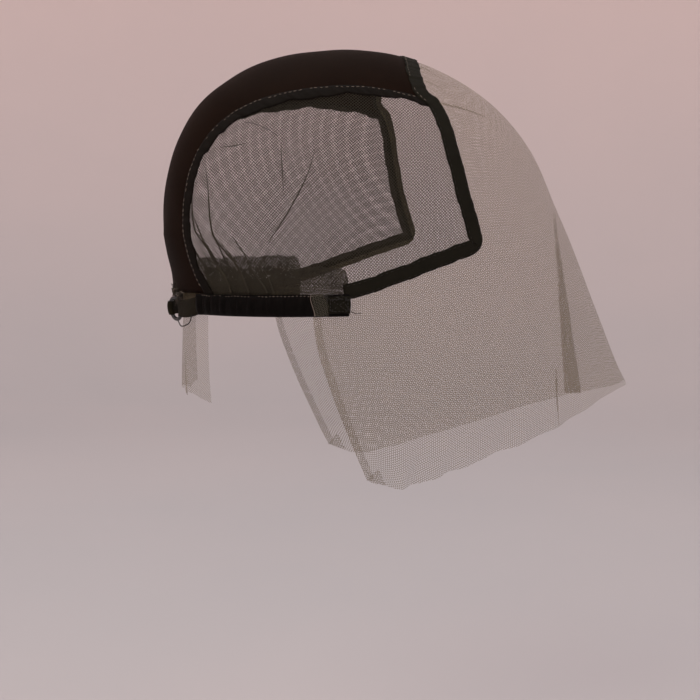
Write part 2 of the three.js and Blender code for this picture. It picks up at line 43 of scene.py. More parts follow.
rng = np.random.default_rng(11)
print("frame loaded:", len(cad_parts), "nodes")

# The head form that all the cloth follows, as the solids do
headForm = {
    "widestDrop": 88,
    "upper": [(98.5, 1.87), (91, 2.48), (76, 2.35)],  # reach and power to the front, back and side
    "planPower": 2.25,
    "closer": (0.6, -30, -8),  # how much closer the cloth lies over the crown, growing between two heights
    "lower": [  # drop, reach to the back and to the side
        (88, 91, 76), (100, 88.5, 76), (115, 84.5, 75), (135, 83, 72.5),
        (160, 81, 67.5), (190, 77, 58), (225, 72, 45),
    ],
    "fall": [  # drop, reach to the front and power of its plan, from where the lace leaves the forehead
        (62, 92.98, 2.25), (76, 99.1, 2.25), (88, 105.1, 2.2), (100, 110.8, 2.12), (115, 117.7, 2),
        (135, 126.8, 1.83), (160, 137.4, 1.65), (190, 153.5, 1.55), (225, 172, 1.5),
    ],
}
widest = headForm["widestDrop"]
planPower = headForm["planPower"]
lowerRows = np.array(headForm["lower"], float)
fallRows = np.array(headForm["fall"], float)
middle = np.array([0, 0, -widest], float)
mirrorY = np.array([1, -1, 1])


def rows3(*columns):
    return np.stack(np.broadcast_arrays(*[np.asarray(c, float) for c in columns]), -1)


def smoothStep(x, low, high):
    t = np.clip((x - low) / (high - low), 0, 1)
    return t * t * (3 - 2 * t)


def arch(share):
    # a half wave, from 0 up to 1 and back
    return np.sin(math.pi * share)


def ripple(x, waves):
    # waves: pitch and height in mm, and a phase
    return sum(height * np.sin(2 * math.pi * x / pitch + phase) for pitch, height, phase in waves)


def throughRows(rows, drop):
    # a cubic through the rows, with no bend at its two ends
    level = rows[:, 0]
    last = len(level) - 1
    t = np.clip(drop, level[0], level[-1])
    k = np.clip(np.searchsorted(level, t, side="right") - 1, 0, last - 1)
    before = np.where(k > 0, k - 1, k + 1)
    after = np.where(k + 2 <= last, k + 2, k)
    half = (level[k + 1] - level[k]) / 2
    wb = half / (level[k] - level[before])
    wa = half / (level[after] - level[k + 1])
    p = (t - level[k]) / (2 * half)
    shares = [
        (before, wb * (2 * p**2 - p**3 - p)),
        (k, (1 + wb) * p**3 - (1.5 + 2 * wb) * p**2 + (wb - 0.5) * p + 1),
        (k + 1, (1.5 + wa) * p**2 - (1 + wa) * p**3 + 0.5 * p),
        (after, wa * (p**3 - p**2)),
    ]
    return sum(share[..., None] * rows[row, 1:] for row, share in shares)


def sectionAt(drop):
    up = np.clip((widest - drop) / widest, 0, 1)
    front, back, side = [reach * (1 - up**power) ** (1 / power) for reach, power in headForm["upper"]]
    ahead = np.where((drop > fallRows[0, 0])[..., None], throughRows(fallRows, drop), rows3(front, planPower))
    around = np.where((drop > widest)[..., None], throughRows(lowerRows, drop), rows3(back, side))
    return np.concatenate([ahead[..., :1], around, ahead[..., 1:]], -1)


def fullness(p):
    # under 1 inside the form, 1 on it
    x, y, z = np.moveaxis(p, -1, 0)
    front, back, side, frontPower = np.moveaxis(np.maximum(sectionAt(-z), 1e-6), -1, 0)
    power = np.where(x > 0, frontPower, planPower)
    reach = np.where(x > 0, front, back)
    full = ((np.abs(x) / reach) ** power + (np.abs(y) / side) ** power) ** (1 / power)
    return np.where(z >= 0, 2.0, full)


def unit(v):
    return v / np.maximum(np.linalg.norm(v, axis=-1, keepdims=True), 1e-12)


def reachOut(base, direction, limit=300.0, halvings=36):
    # where a line out of the form leaves it
    inside = np.zeros(direction.shape[:-1])
    outside = np.full(direction.shape[:-1], limit)
    for _ in range(halvings):
        half = (inside + outside) / 2
        within = fullness(base + direction * half[..., None]) < 1
        inside = np.where(within, half, inside)
        outside = np.where(within, outside, half)
    return base + direction * inside[..., None]


def ontoForm(p):
    return reachOut(middle, unit(p - middle))


# Places on the form, on the wearer's right (-Y)
def sidePoint(x, drop):
    x, drop = np.asarray(x, float), np.asarray(drop, float)
    front, back, side, frontPower = np.moveaxis(sectionAt(drop), -1, 0)
    power = np.where(x > 0, frontPower, planPower)
    share = 1 - (np.abs(x) / np.where(x > 0, front, back)) ** power
    return rows3(x, -side * np.maximum(share, 0) ** (1 / power), -drop)


def topPoint(x, y):
    base = rows3(x, -np.asarray(y, float), -widest)
    return reachOut(base, np.broadcast_to([0.0, 0.0, 1.0], base.shape), widest)


def turnPoint(turn, y):
    # turn is about the ear-to-ear axis
    angle = np.radians(np.asarray(turn, float))
    return reachOut(rows3(0, -np.asarray(y, float), -widest), rows3(np.cos(angle), 0, np.sin(angle)))


def bearingPoint(bearing, drop):
    angle = np.radians(np.asarray(bearing, float))
    base = rows3(0, 0, -np.asarray(drop, float))
    return reachOut(*np.broadcast_arrays(base, rows3(np.cos(angle), -np.sin(angle), 0)))


def bearingOf(p):
    return np.degrees(np.arctan2(-p[..., 1], p[..., 0]))


def normalsAt(p, reach=0.6):
    outward = unit(p - middle)
    helper = np.where(np.abs(outward[..., 1:2]) < 0.8, [0.0, 1.0, 0.0], [1.0, 0.0, 0.0])
    across = unit(np.cross(helper, outward))
    up = np.cross(outward, across)
    ahead = ontoForm(p + across * reach) - ontoForm(p - across * reach)
    above = ontoForm(p + up * reach) - ontoForm(p - up * reach)
    return unit(np.cross(ahead, above))


def lifted(p, height):
    closer, low, high = headForm["closer"]
    height = height - closer * smoothStep(p[..., 2], low, high)
    return p + normalsAt(p) * np.broadcast_to(height, p.shape[:-1])[..., None]


def between(first, second, share):
    # on the form, a share of the way from the first places to the second
    return ontoForm(first * (1 - share)[:, None] + second * share[:, None])


# Lines on the form
def arcLength(path):
    return np.concatenate([[0], np.cumsum(np.linalg.norm(np.diff(path, axis=0), axis=1))])


def readOff(at, steps, path):
    return np.stack([np.interp(at, steps, path[:, k]) for k in range(3)], -1)


def evenly(path, count):
    arc = arcLength(path)
    return readOff(np.linspace(0, arc[-1], count + 1), arc, path)


def along(path, first=0.0, last=None):
    # a path as a function of the share of the way between two of its steps
    last = len(path) - 1 if last is None else last
    steps = np.arange(len(path))
    return lambda share: readOff(first + np.asarray(share) * (last - first), steps, path)


def smoothPath(points, count, fine=60):
    # an even run along a smooth curve through a few points
    points = np.asarray(points, float)
    ends = [2 * points[0] - points[1], 2 * points[-1] - points[-2]]
    padded = np.concatenate([[ends[0]], points, [ends[1]]])
    curve = []
    for a, b, c, d in zip(padded, padded[1:], padded[2:], padded[3:]):
        gaps = [math.sqrt(np.linalg.norm(q - p)) for p, q in ((a, b), (b, c), (c, d))]
        first = (b - a) / gaps[0] - (c - a) / (gaps[0] + gaps[1]) + (c - b) / gaps[1]
        last = (c - b) / gaps[1] - (d - b) / (gaps[1] + gaps[2]) + (d - c) / gaps[2]
        t = np.linspace(0, 1, fine, endpoint=False)[:, None]
        m0, m1 = first * gaps[1], last * gaps[1]
        curve.append(b + m0 * t + (3 * (c - b) - 2 * m0 - m1) * t**2 + (2 * (b - c) + m0 + m1) * t**3)
    return evenly(np.concatenate([*curve, [points[-1]]]), count)


def tracedPath(points, count):
    return ontoForm(smoothPath(points, count))


def throughSpots(point, rows, count):
    # a smooth line on the form through a table of places
    return tracedPath(point(*np.array(rows, float).T), count)


def shifted(path, distance):
    # sideways over the form, mitred; positive is to the left of the run, seen from outside
    normal = normalsAt(path)
    run = np.diff(path, axis=0)
    before = unit(np.cross(normal, np.concatenate([run[:1], run])))
    after = unit(np.cross(normal, np.concatenate([run, run[-1:]])))
    mitre = unit(before + after)
    return ontoForm(path + mitre * (distance / (mitre * after).sum(1))[:, None])


def drawnOut(path, before, after, steps=12):
    # a path carried straight on past its two ends
    first = path[0] + unit(path[0] - path[1]) * np.linspace(before, 0, steps + 1)[:-1, None]
    last = path[-1] + unit(path[-1] - path[-2]) * np.linspace(0, after, steps + 1)[1:, None]
    return ontoForm(np.concatenate([first, path, last]))


def roundedCorner(path, at, reach=4, rounds=6):
    # ease a path's corner over a few steps
    path = path.copy()
    for _ in range(rounds):
        span = path[at - reach:at + reach + 1]
        span[1:-1] = (span[:-2] + 2 * span[1:-1] + span[2:]) / 4
    return ontoForm(path)


def patch(bottom, top, right):
    # a surface between four edges, the left one the mirror image of the right
    def place(u, v):
        a, b = u[:, None], v[:, None]
        nought, one = np.zeros(1), np.ones(1)
        edges = bottom(u) * (1 - b) + top(u) * b + right(v) * (1 - a) + right(v) * mirrorY * a
        corners = bottom(nought) * (1 - a) * (1 - b) + bottom(one) * a * (1 - b)
        return ontoForm(edges - corners - top(nought) * (1 - a) * b - top(one) * a * b)
    return place


def toLine(spots, start, end):
    # in a flat view, the share of the way along a straight line and the distance from it
    run = np.subtract(end, start)
    offset = spots - np.asarray(start)
    share = np.clip(offset @ run / (run @ run), 0, 1)
    return share, np.linalg.norm(offset - share[:, None] * run, axis=1)


# Meshes
def linked(name, mesh, material):
    mesh.materials.clear()
    mesh.materials.append(material)
    mesh.shade_smooth()
    piece = bpy.data.objects.new(name, mesh)
    bpy.context.collection.objects.link(piece)
    return piece


def pieceFrom(name, bm, material):
    mesh = bpy.data.meshes.new(name)
    bm.to_mesh(mesh)
    bm.free()
    return linked(name, mesh, material)


def dress(piece, node=None):
    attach(piece, "root")
    if node:
        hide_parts(node)


def thicken(piece, thickness):
    wall = piece.modifiers.new("thickness", "SOLIDIFY")
    wall.thickness = thickness * mm
    wall.offset = 0.0
    return piece


def clothGrid(name, size, place, material, side="right", covered=None):
    # a grid bent into place, with its own flat lengths in millimetres as UV
    columns, rows = size
    bm = bmesh.new()
    bmesh.ops.create_grid(bm, x_segments=columns, y_segments=rows, size=0.5)
    flat = np.array([v.co for v in bm.verts])
    i = np.rint((flat[:, 0] + 0.5) * columns).astype(int)
    j = np.rint((flat[:, 1] + 0.5) * rows).astype(int)
    points = onSide(place(i / columns, j / rows), side)
    for vert, point in zip(bm.verts, points):
        vert.co = point * mm
    grid = np.zeros((rows + 1, columns + 1, 3))
    grid[j, i] = points
    across = np.linalg.norm(np.diff(grid, axis=1), axis=2).cumsum(1)
    across = np.concatenate([np.zeros((rows + 1, 1)), across], 1)
    across -= across[:, columns // 2][:, None]
    down = np.linalg.norm(np.diff(grid[:, columns // 2], axis=0), axis=1).cumsum()
    down = np.concatenate([[0], down])
    layer = bm.loops.layers.uv.new("cloth")
    bare = []
    for face in bm.faces:
        for loop in face.loops:
            n = loop.vert.index
            loop[layer].uv = (across[j[n], i[n]], down[j[n]])
        corners = [v.index for v in face.verts]
        if covered is not None and not covered(i[corners].min(), j[corners].min()):
            bare.append(face)
    bmesh.ops.delete(bm, geom=bare, context="FACES")
    if side == "left":
        bmesh.ops.reverse_faces(bm, faces=bm.faces)
    return pieceFrom(name, bm, material)


def joined(name, pieces):
    bm = bmesh.new()
    material = pieces[0].data.materials[0]
    for piece in pieces:
        mesh = piece.data
        bm.from_mesh(mesh)
        bpy.data.objects.remove(piece)
        bpy.data.meshes.remove(mesh)
    return pieceFrom(name, bm, material)


def onSide(places, side):
    return places if side == "right" else places * mirrorY


def forBothSides(build):
    for side in ("right", "left"):
        build(side)


def sewn(name, shape, place, material, node, side="right"):
    # a thick cloth that takes the place of a node
    dress(thicken(clothGrid(name, shape["grid"], place, material, side), shape["thick"]), node)


stitchWobble = {"length": (0.7, 1.2), "way": 0.1, "place": 0.06}  # shares of the length, then spreads


def stitches(name, runs, material, length, gap, radius, missed):
    # runs: places and outward normals along a seam; each stitch is one small bead of thread
    bead = bmesh.new()
    bmesh.ops.create_uvsphere(bead, u_segments=6, v_segments=4, radius=1)
    shape = np.array([v.co for v in bead.verts])
    faces = [[v.index for v in f.verts] for f in bead.faces]
    bead.free()
    places, joins = [], []
    for path, normals in runs:
        arc = arcLength(path)
        for start in np.arange(gap, arc[-1] - length, length + gap):
            if rng.random() < missed:
                continue
            span = length * rng.uniform(*stitchWobble["length"])
            ends = readOff([start, start + span], arc, path)
            out = readOff(start, arc, normals)
            way = unit(ends[1] - ends[0] + rng.normal(0, stitchWobble["way"], 3))
            across = unit(np.cross(out, way))
            centre = (ends[0] + ends[1]) / 2 + rng.normal(0, stitchWobble["place"], 3)
            axes = np.stack([way * span / 2, across * radius, np.cross(way, across) * radius])
            joins += [[n + len(places) * len(shape) for n in face] for face in faces]
            places.append(centre + shape @ axes)
    mesh = bpy.data.meshes.new(name)
    mesh.from_pydata((np.concatenate(places) * mm).tolist(), [], joins)
    return linked(name, mesh, material)


def threads(name, paths, material, radius):
    # loose threads, as thin tubes
    curve = bpy.data.curves.new(name, "CURVE")
    curve.dimensions = "3D"
    curve.bevel_depth = radius * mm
    curve.bevel_resolution = 1
    curve.use_fill_caps = True
    for path in paths:
        spline = curve.splines.new("POLY")
        spline.points.add(len(path) - 1)
        for point, place in zip(spline.points, path):
            point.co = (*(place * mm), 1)
    draft = bpy.data.objects.new(name + "_draft", curve)
    mesh = bpy.data.meshes.new_from_object(draft)
    bpy.data.objects.remove(draft)
    bpy.data.curves.remove(curve)
    return linked(name, mesh, material)


# Finishes
reliefStrength = 0.6  # of every weave


def linear(hexColour):
    parts = [int(hexColour[k:k + 2], 16) / 255 for k in (1, 3, 5)]
    return (*[c / 12.92 if c <= 0.04045 else ((c + 0.055) / 1.055) ** 2.4 for c in parts], 1)


def addNode(tree, kind, links, feeds=None, **settings):
    # links: what each input takes, a value or a socket; feeds: the sockets that its outputs go on to
    node = tree.nodes.new(kind)
    for name, value in settings.items():
        setattr(node, name, value)
    for socket, value in links.items():
        if isinstance(value, bpy.types.NodeSocket):
            tree.links.new(value, node.inputs[socket])
        else:
            node.inputs[socket].default_value = value
    for output, socket in (feeds or {}).items():
        tree.links.new(node.outputs[output], socket)
    return node


def finish(name, colours, size, cloth=True, depth=None, **sockets):
    # two close colours that drift over the material, size in mm, and a relief of a depth in mm; its places
    # are in mm, over the flat cloth or in the object's own frame
    material = bpy.data.materials.new(name)
    material.use_nodes = True
    tree = material.node_tree
    shader = tree.nodes["Principled BSDF"]
    for socket, value in sockets.items():
        shader.inputs[socket.replace("_", " ")].default_value = value
    if cloth:
        place = addNode(tree, "ShaderNodeUVMap", {}, uv_map="cloth").outputs["UV"]
    else:
        own = addNode(tree, "ShaderNodeTexCoord", {}).outputs["Object"]
        place = addNode(tree, "ShaderNodeVectorMath", {0: own, "Scale": 1 / mm}, operation="SCALE").outputs[0]
    drift = {"Vector": place, "Scale": 1 / size, "Detail": 3.0}
    cloud = addNode(tree, "ShaderNodeTexNoise", drift).outputs["Fac"]
    tones = {"Factor": cloud, 6: linear(colours[0]), 7: linear(colours[1])}
    blend = addNode(tree, "ShaderNodeMix", tones, {2: shader.inputs["Base Color"]}, data_type="RGBA")
    relief = None
    if depth:
        press = {"Strength": reliefStrength, "Distance": depth * mm}
        bump = addNode(tree, "ShaderNodeBump", press, {"Normal": shader.inputs["Normal"]})
        relief = bump.inputs["Height"]
    return SimpleNamespace(
        material=material, tree=tree, shader=shader, place=place, cloud=cloud, blend=blend, relief=relief
    )


def bandScale(pitch):
    # of the wave texture, which has 20 bands to a turn; pitch in mm
    return 2 * math.pi / (20 * pitch)


laceLook = {
    "hole": 1.05,  # spacing of the holes, mm
    "thread": (-1.0, -0.5),  # wave sums between which a thread ends
    "cover": 0.74,  # of a thread, which is clear enough to let a little light by
    "colours": ("#81755a", "#6b6049"),
}
# the lap: doubled lace with smaller holes and denser cover, its thread colours painted darker and greyer as
# shade
lapLook = {"hole": 0.8, "thread": (-1.0, -0.3), "cover": 0.85, "colours": ("#5c594c", "#47453b")}
weaveAngles = (15, 135, 255)  # off the line of the cloth, so that two layers keep apart
weaveSway = 25 / 3  # mm between the slow bends of the weave


def wigLace(name, look):
    # warp-knitted polyamide lace: a fine honeycomb of matt nude-brown threads with round holes
    made = finish(name, look["colours"], size=9.0, Roughness=0.8, Specular_IOR_Level=0.3)
    tree, place = made.tree, made.place
    sway = addNode(tree, "ShaderNodeTexNoise", {"Vector": place, "Scale": 1 / weaveSway, "Detail": 1.0})
    drawn = addNode(tree, "ShaderNodeVectorMath", {0: sway.outputs["Color"], 1: place}, operation="ADD")
    pitch = 4 * math.pi / (math.sqrt(3) * look["hole"])
    total = 0.0
    for angle in weaveAngles:
        way = (pitch * math.cos(math.radians(angle)), pitch * math.sin(math.radians(angle)), 0)
        dot = addNode(tree, "ShaderNodeVectorMath", {0: drawn.outputs[0], 1: way}, operation="DOT_PRODUCT")
        wave = addNode(tree, "ShaderNodeMath", {0: dot.outputs["Value"]}, operation="COSINE")
        total = addNode(tree, "ShaderNodeMath", {0: wave.outputs[0], 1: total}, operation="ADD").outputs[0]
    low, high = look["thread"]
    edge = {"Value": total, 1: low, 2: high, 3: look["cover"], 4: 0.0}
    addNode(tree, "ShaderNodeMapRange", edge, {0: made.shader.inputs["Alpha"]})
    return made.material


def twistedYarn(name, colours, size, twist, **gloss):
    # spun or textured yarn: matt, two close tones and a fine twist; sizes in mm
    made = finish(name, colours, size, cloth=False, depth=0.05, **gloss)
    turns = {"Vector": made.place, "Scale": 1 / twist, "Detail": 1.0}
    addNode(made.tree, "ShaderNodeTexNoise", turns, {"Fac": made.relief})
    return made.material


def stretchSatin(name, colours, pitch, gloss):
    # brushed stretch satin: very dark, a soft low sheen, hair-fine twill lines drawn a little coarse
    sheen = {"Sheen_Weight": 0.004, "Sheen_Roughness": 0.4, "Sheen_Tint": linear("#6b4f42")}
    made = finish(name, colours, size=26.0, depth=0.08, Roughness=0.5, Specular_IOR_Level=gloss, **sheen)
    twill = {"Vector": made.place, "Scale": bandScale(pitch), "Distortion": 0.6}
    addNode(made.tree, "ShaderNodeTexWave", twill, {"Fac": made.relief}, bands_direction="DIAGONAL")
    return made.material


def wovenRibbon(name, colours, pitch=0.55):
    # cotton-polyester tape: near-black, matt, ribbed across, with a slightly worn surface
    made = finish(name, colours, size=7.0, depth=0.12, Roughness=0.7, Specular_IOR_Level=0.05)
    lay = {"Vector": made.place, "Scale": bandScale(pitch), "Distortion": 0.8}
    ribs = addNode(made.tree, "ShaderNodeTexWave", lay, bands_direction="X").outputs["Fac"]
    addNode(made.tree, "ShaderNodeMath", {0: ribs, 1: made.cloud}, {0: made.relief}, operation="ADD")
    return made.material


def braidedElastic(name, colours, pitch=0.9):
    # braided elastic: olive-grey yarns crossing on the slant over rubber cores
    made = finish(name, colours, size=3.0, depth=0.15, Roughness=0.78, Specular_IOR_Level=0.08)
    turn = 2 * math.pi / pitch
    yarns = {}
    for number, way in enumerate([(turn, turn, 0), (turn, -turn, 0)]):
        dot = addNode(made.tree, "ShaderNodeVectorMath", {0: made.place, 1: way}, operation="DOT_PRODUCT")
        wave = addNode(made.tree, "ShaderNodeMath", {0: dot.outputs["Value"]}, operation="SINE")
        yarns[number] = wave.outputs[0]
    addNode(made.tree, "ShaderNodeMath", yarns, {0: made.relief}, operation="MAXIMUM")
    return made.material


def mouldedPlastic(name, colours, rough):
    # injection-moulded acetal: deep black gloss with faint handling marks
    made = finish(name, colours, size=2.5, cloth=False, IOR=1.48, Coat_Weight=0.2)
    handled = {"Value": made.cloud, 3: rough[0], 4: rough[1]}
    addNode(made.tree, "ShaderNodeMapRange", handled, {0: made.shader.inputs["Roughness"]})
    return made.material


paperLook = {
    # the rise below is a painted fall-off of light and shade, not a change in the paper
    "rise": {1: -420.0, 2: 700.0, 3: 0.15, 4: 1.15},  # two heights in mm, the upper colour's share at each
    "cloud": 700,  # size of its clouds, mm
    "cloudShare": 0.3,
}


def paperWithPaintedFalloff(name, colours):
    # matt studio paper with a painted fall-off of light: darker and greyer towards the floor, paler up the
    # wall, with the slightest cloudiness
    made = finish(name, colours, paperLook["cloud"], cloth=False, Roughness=0.95, Specular_IOR_Level=0.1)
    height = addNode(made.tree, "ShaderNodeSeparateXYZ", {0: made.place}).outputs["Z"]
    rise = addNode(made.tree, "ShaderNodeMapRange", {"Value": height, **paperLook["rise"]}).outputs[0]
    blot = {0: made.cloud, 1: paperLook["cloudShare"], 2: rise}
    share = {0: made.blend.inputs["Factor"]}
    addNode(made.tree, "ShaderNodeMath", blot, share, operation="MULTIPLY_ADD", use_clamp=True)
    return made.material


# polyamide power net: matt dark strands with a faint twist
netYarn = {"size": 6.0, "twist": 0.2, "Roughness": 0.75, "Specular_IOR_Level": 0.18}
# spun polyester sewing thread: two-tone and matt, with a tight twist
sewingYarn = {"size": 1.6, "twist": 1 / 7, "Roughness": 0.7, "Specular_IOR_Level": 0.3}
lace = wigLace("wig lace", laceLook)
lapLaceInShade = wigLace("doubled wig lace in painted shade", lapLook)
netCloth = twistedYarn("stretch net", ("#433f34", "#302c25"), **netYarn)
satin = stretchSatin("brown stretch satin", ("#1e140e", "#150d09"), pitch=0.42, gloss=0.008)
ribbon = wovenRibbon("black tape", ("#201e17", "#161510"))
seamRibbon = wovenRibbon("black seam tape", ("#181410", "#100d0a"))
casingSatin = stretchSatin("black casing satin", ("#0d0a09", "#080706"), pitch=0.3, gloss=0.04)
elastic = braidedElastic("olive elastic", ("#211d13", "#17140c"))
ringPlastic = mouldedPlastic("black acetal", ("#0c0c0d", "#141415"), rough=(0.16, 0.36))
paleThread = twistedYarn("pale sewing thread", ("#8a7f74", "#5f554c"), **sewingYarn)
darkThread = twistedYarn("dark sewing thread", ("#2c2925", "#171513"), **sewingYarn)
fraySand = twistedYarn("frayed lace ends", ("#3c3327", "#241e17"), **sewingYarn)
# the grey towards the floor and the pale pink up the wall are blended by height as painted shade and light
paper = paperWithPaintedFalloff("pale paper", ("#aeb2b6", "#e0cecb"))
print("finishes made")

# Hairline, from the right ear over the crown to the left ear, and the seam of the crown strip
lines = {
    "earSteps": 52,
    "templeSteps": 44,
    "crownSteps": 72,
    "seamSteps": 120,
    "overCrown": [(26, 0), (25, 14), (23, 28), (21, 46), (22.2, 54.5), (27.2, 57.6)],  # x, y in plan
    "downTemple": [(30.3, 35.7), (32.8, 46.8), (38.1, 69.6), (45, 91.8)],  # x, drop in side view
    "toEar": [(29, 97), (3.3, 106.2), (-14.1, 111.8), (-31.4, 114)],
    "strip": [  # turn about the ear-to-ear axis, half width
        (67.3, 57.6), (82, 57.2), (98, 55.2), (114, 53), (127, 48.8), (137, 44),
        (147, 39), (160, 35.3), (174, 34.6), (188, 36.2), (198.8, 40),
    ],
    "seamClear": 0.8,
}
crownRun = topPoint(*np.array(lines["overCrown"]).T)
templeRun = np.concatenate([crownRun[-1:], sidePoint(*np.array(lines["downTemple"]).T)])
earRun = np.concatenate([templeRun[-1:], sidePoint(*np.array(lines["toEar"]).T)])
rightHalf = np.concatenate([
    tracedPath(earRun[::-1], lines["earSteps"]),
    tracedPath(templeRun[::-1], lines["templeSteps"])[1:],
    tracedPath(crownRun[::-1], lines["crownSteps"])[1:],
])
hairline = np.concatenate([rightHalf, rightHalf[-2::-1] * mirrorY])
hairlineEnd = len(hairline) - 1
cornerAt = lines["earSteps"]
jointAt = cornerAt + lines["templeSteps"]
bothCorners = (cornerAt, hairlineEnd - cornerAt)
capEdge = shifted(hairline, lines["seamClear"])
laceEdge = shifted(hairline, -lines["seamClear"])
seamLine = throughSpots(turnPoint, lines["strip"], lines["seamSteps"])
stripCornerAt, netCornerAt = jointAt + 1, jointAt - 0.5
stripSide = shifted(seamLine, -lines["seamClear"])
stripSide[0] = along(capEdge)(stripCornerAt / hairlineEnd)
netSide = shifted(seamLine, lines["seamClear"])
netSide[0] = along(capEdge)(netCornerAt / hairlineEnd)
print("lines drawn on the form")


def toHairline(p):
    return np.linalg.norm(p[:, None] - hairline[None, ::2], axis=2).min(1)


# From here, a grid is columns and rows, and waves are pitch, height and phase
crownStrip = {
    "grid": (72, 72),
    "height": 1.75,
    "thick": 0.6,
    "endDrop": 116.4,
    "dip": 1.2,
    "length": 200,
    "waves": [(37, 0.12, 0.4), (23, 0.08, 2.0)],
    "sway": (14, 5),
    "standsOff": (1.7, 98, 115),  # how far its end stands off the nape, growing between two drops
}


def buildCrownStrip():
    rear = float(bearingOf(stripSide[-1]))

    def nape(t):
        dip = crownStrip["dip"] * arch(t)
        return bearingPoint(rear + t * 2 * (180 - rear), crownStrip["endDrop"] + dip)

    front = along(capEdge, stripCornerAt, hairlineEnd - stripCornerAt)
    surface = patch(front, nape, along(stripSide))

    def place(u, v):
        p = surface(u, v)
        free = arch(u)  # held by a seam at both sides
        sway, turns = crownStrip["sway"]
        pull = ripple(v * crownStrip["length"] + sway * np.sin(turns * u), crownStrip["waves"])
        off, start, end = crownStrip["standsOff"]
        off = off * (free * smoothStep(-p[:, 2], start, end)) ** 2
        return lifted(p, crownStrip["height"] + pull * free + off)

    sewn("crown_stretch", crownStrip, place, satin, "crown_strip")


buildCrownStrip()
print("crown strip")

sideNet = {
    "cell": 1.5,  # step of the square net before it is turned to diamonds, mm
    "strand": 0.26,
    "height": 1.8,
    "uneven": 0.05,
    "faces": (-18.0, -72.0, 14.0),  # the way that the panel's middle faces
    "bendRadius": 82,
    "hemSteps": 40,
    "fade": (0.12, 0.88),  # part of a half wave along each gather
    "gathers": [  # from x, drop to x, drop; height and width
        (-80.5, 73.8, -77.4, 89.5, 1.2, 1.2),
        (-77.4, 89.5, -68.3, 105, 1.8, 1.2),
        (-68.3, 105, -63, 111, 1.6, 1.2),
        (-70, 89.3, -57.5, 111, 1.6, 1.1),
        (-63, 93.6, -53, 106.7, 1.4, 1.1),
        (-39.1, 40, -43.4, 62, 0.7, 1.6),
        (-27.6, 46.2, -47.6, 88.6, 0.7, 1.8),
        (-74.8, 57.2, -72.3, 88.9, 0.7, 1.4),
    ],
}


def gatherRise(p):
    rise = np.zeros(len(p))
    first, last = sideNet["fade"]
    for fromX, fromDrop, toX, toDrop, height, width in sideNet["gathers"]:
        share, away = toLine(p[:, [0, 2]], (fromX, -fromDrop), (toX, -toDrop))
        fade = arch(first + (last - first) * share)
        rise = np.maximum(rise, height * fade * np.exp(-((away / width) ** 2)))
    return rise


def insideLoop(points, loop):
    x, y = points.T
    inside = np.zeros(len(points), bool)
    for (x0, y0), (x1, y1) in zip(loop, np.roll(loop, -1, axis=0)):
        if y0 == y1:
            continue
        crosses = (y0 > y) != (y1 > y)
        inside ^= crosses & (x < (x1 - x0) * (y - y0) / (y1 - y0) + x0)
    return inside


def diamondNet(width, height, cell):
    # square cells poked and joined across their old edges, so that the strands run on the slant
    bm = bmesh.new()
    bmesh.ops.create_grid(bm, x_segments=round(width / cell), y_segments=round(height / cell), size=0.5)
    old = bm.edges[:]
    bmesh.ops.poke(bm, faces=bm.faces[:])
    bmesh.ops.dissolve_edges(bm, edges=[e for e in old if len(e.link_faces) == 2])
    return bm, (np.array([v.co for v in bm.verts])[:, :2] + 0.5) * [width, height]


def strandedNet(name, bm, places, kept, strand):
    # the knots put in place, the net cut to shape, and every edge made a strand
    for vert, place in zip(bm.verts, places):
        vert.co = place * mm
    outside = [v for v, keep in zip(bm.verts[:], kept) if not keep]
    bmesh.ops.delete(bm, geom=outside, context="VERTS")
    bmesh.ops.recalc_face_normals(bm, faces=bm.faces)
    style = {"use_replace": True, "use_boundary": True, "use_even_offset": True}
    bmesh.ops.wireframe(bm, faces=bm.faces[:], thickness=strand * mm, **style)
    print(name, len(bm.faces), "faces")
    return pieceFrom(name, bm, netCloth)


def buildSideNet(side):
    rear, front = netSide[-1], capEdge[0]
    share = np.linspace(0, 1, sideNet["hemSteps"])
    bearings = bearingOf(rear) + (bearingOf(front) - bearingOf(rear)) * share
    hem = bearingPoint(bearings, -rear[2] + (rear[2] - front[2]) * share)
    outline = np.concatenate([hem, capEdge[1:math.floor(netCornerAt) + 1], netSide[:-1]])
    centre = unit(np.array(sideNet["faces"]))
    ahead = unit(np.array([1.0, 0, 0]) - centre[0] * centre)
    above = np.cross(ahead, centre)
    bend = sideNet["bendRadius"]
    way = unit(outline - middle)
    turn = np.arccos(np.clip(way @ centre, -1, 1))
    tangent = unit(way - (way @ centre)[:, None] * centre)
    flat = np.stack([bend * turn * (tangent @ ahead), bend * turn * (tangent @ above)], -1)
    low, high = flat.min(0), flat.max(0)
    bm, spots = diamondNet(*(high - low), sideNet["cell"])
    spots += low
    angle = np.linalg.norm(spots, axis=1)[:, None] / bend
    spread = unit(spots[:, :1] * ahead + spots[:, 1:] * above)
    places = reachOut(middle, np.cos(angle) * centre + np.sin(angle) * spread)
    places = lifted(places, sideNet["height"] + gatherRise(places))
    places = onSide(places + rng.normal(0, sideNet["uneven"], places.shape), side)
    piece = strandedNet(f"net_side_{side}", bm, places, insideLoop(spots, flat), sideNet["strand"])
    dress(piece, f"side_net_{side}")


forBothSides(buildSideNet)
print("side nets")

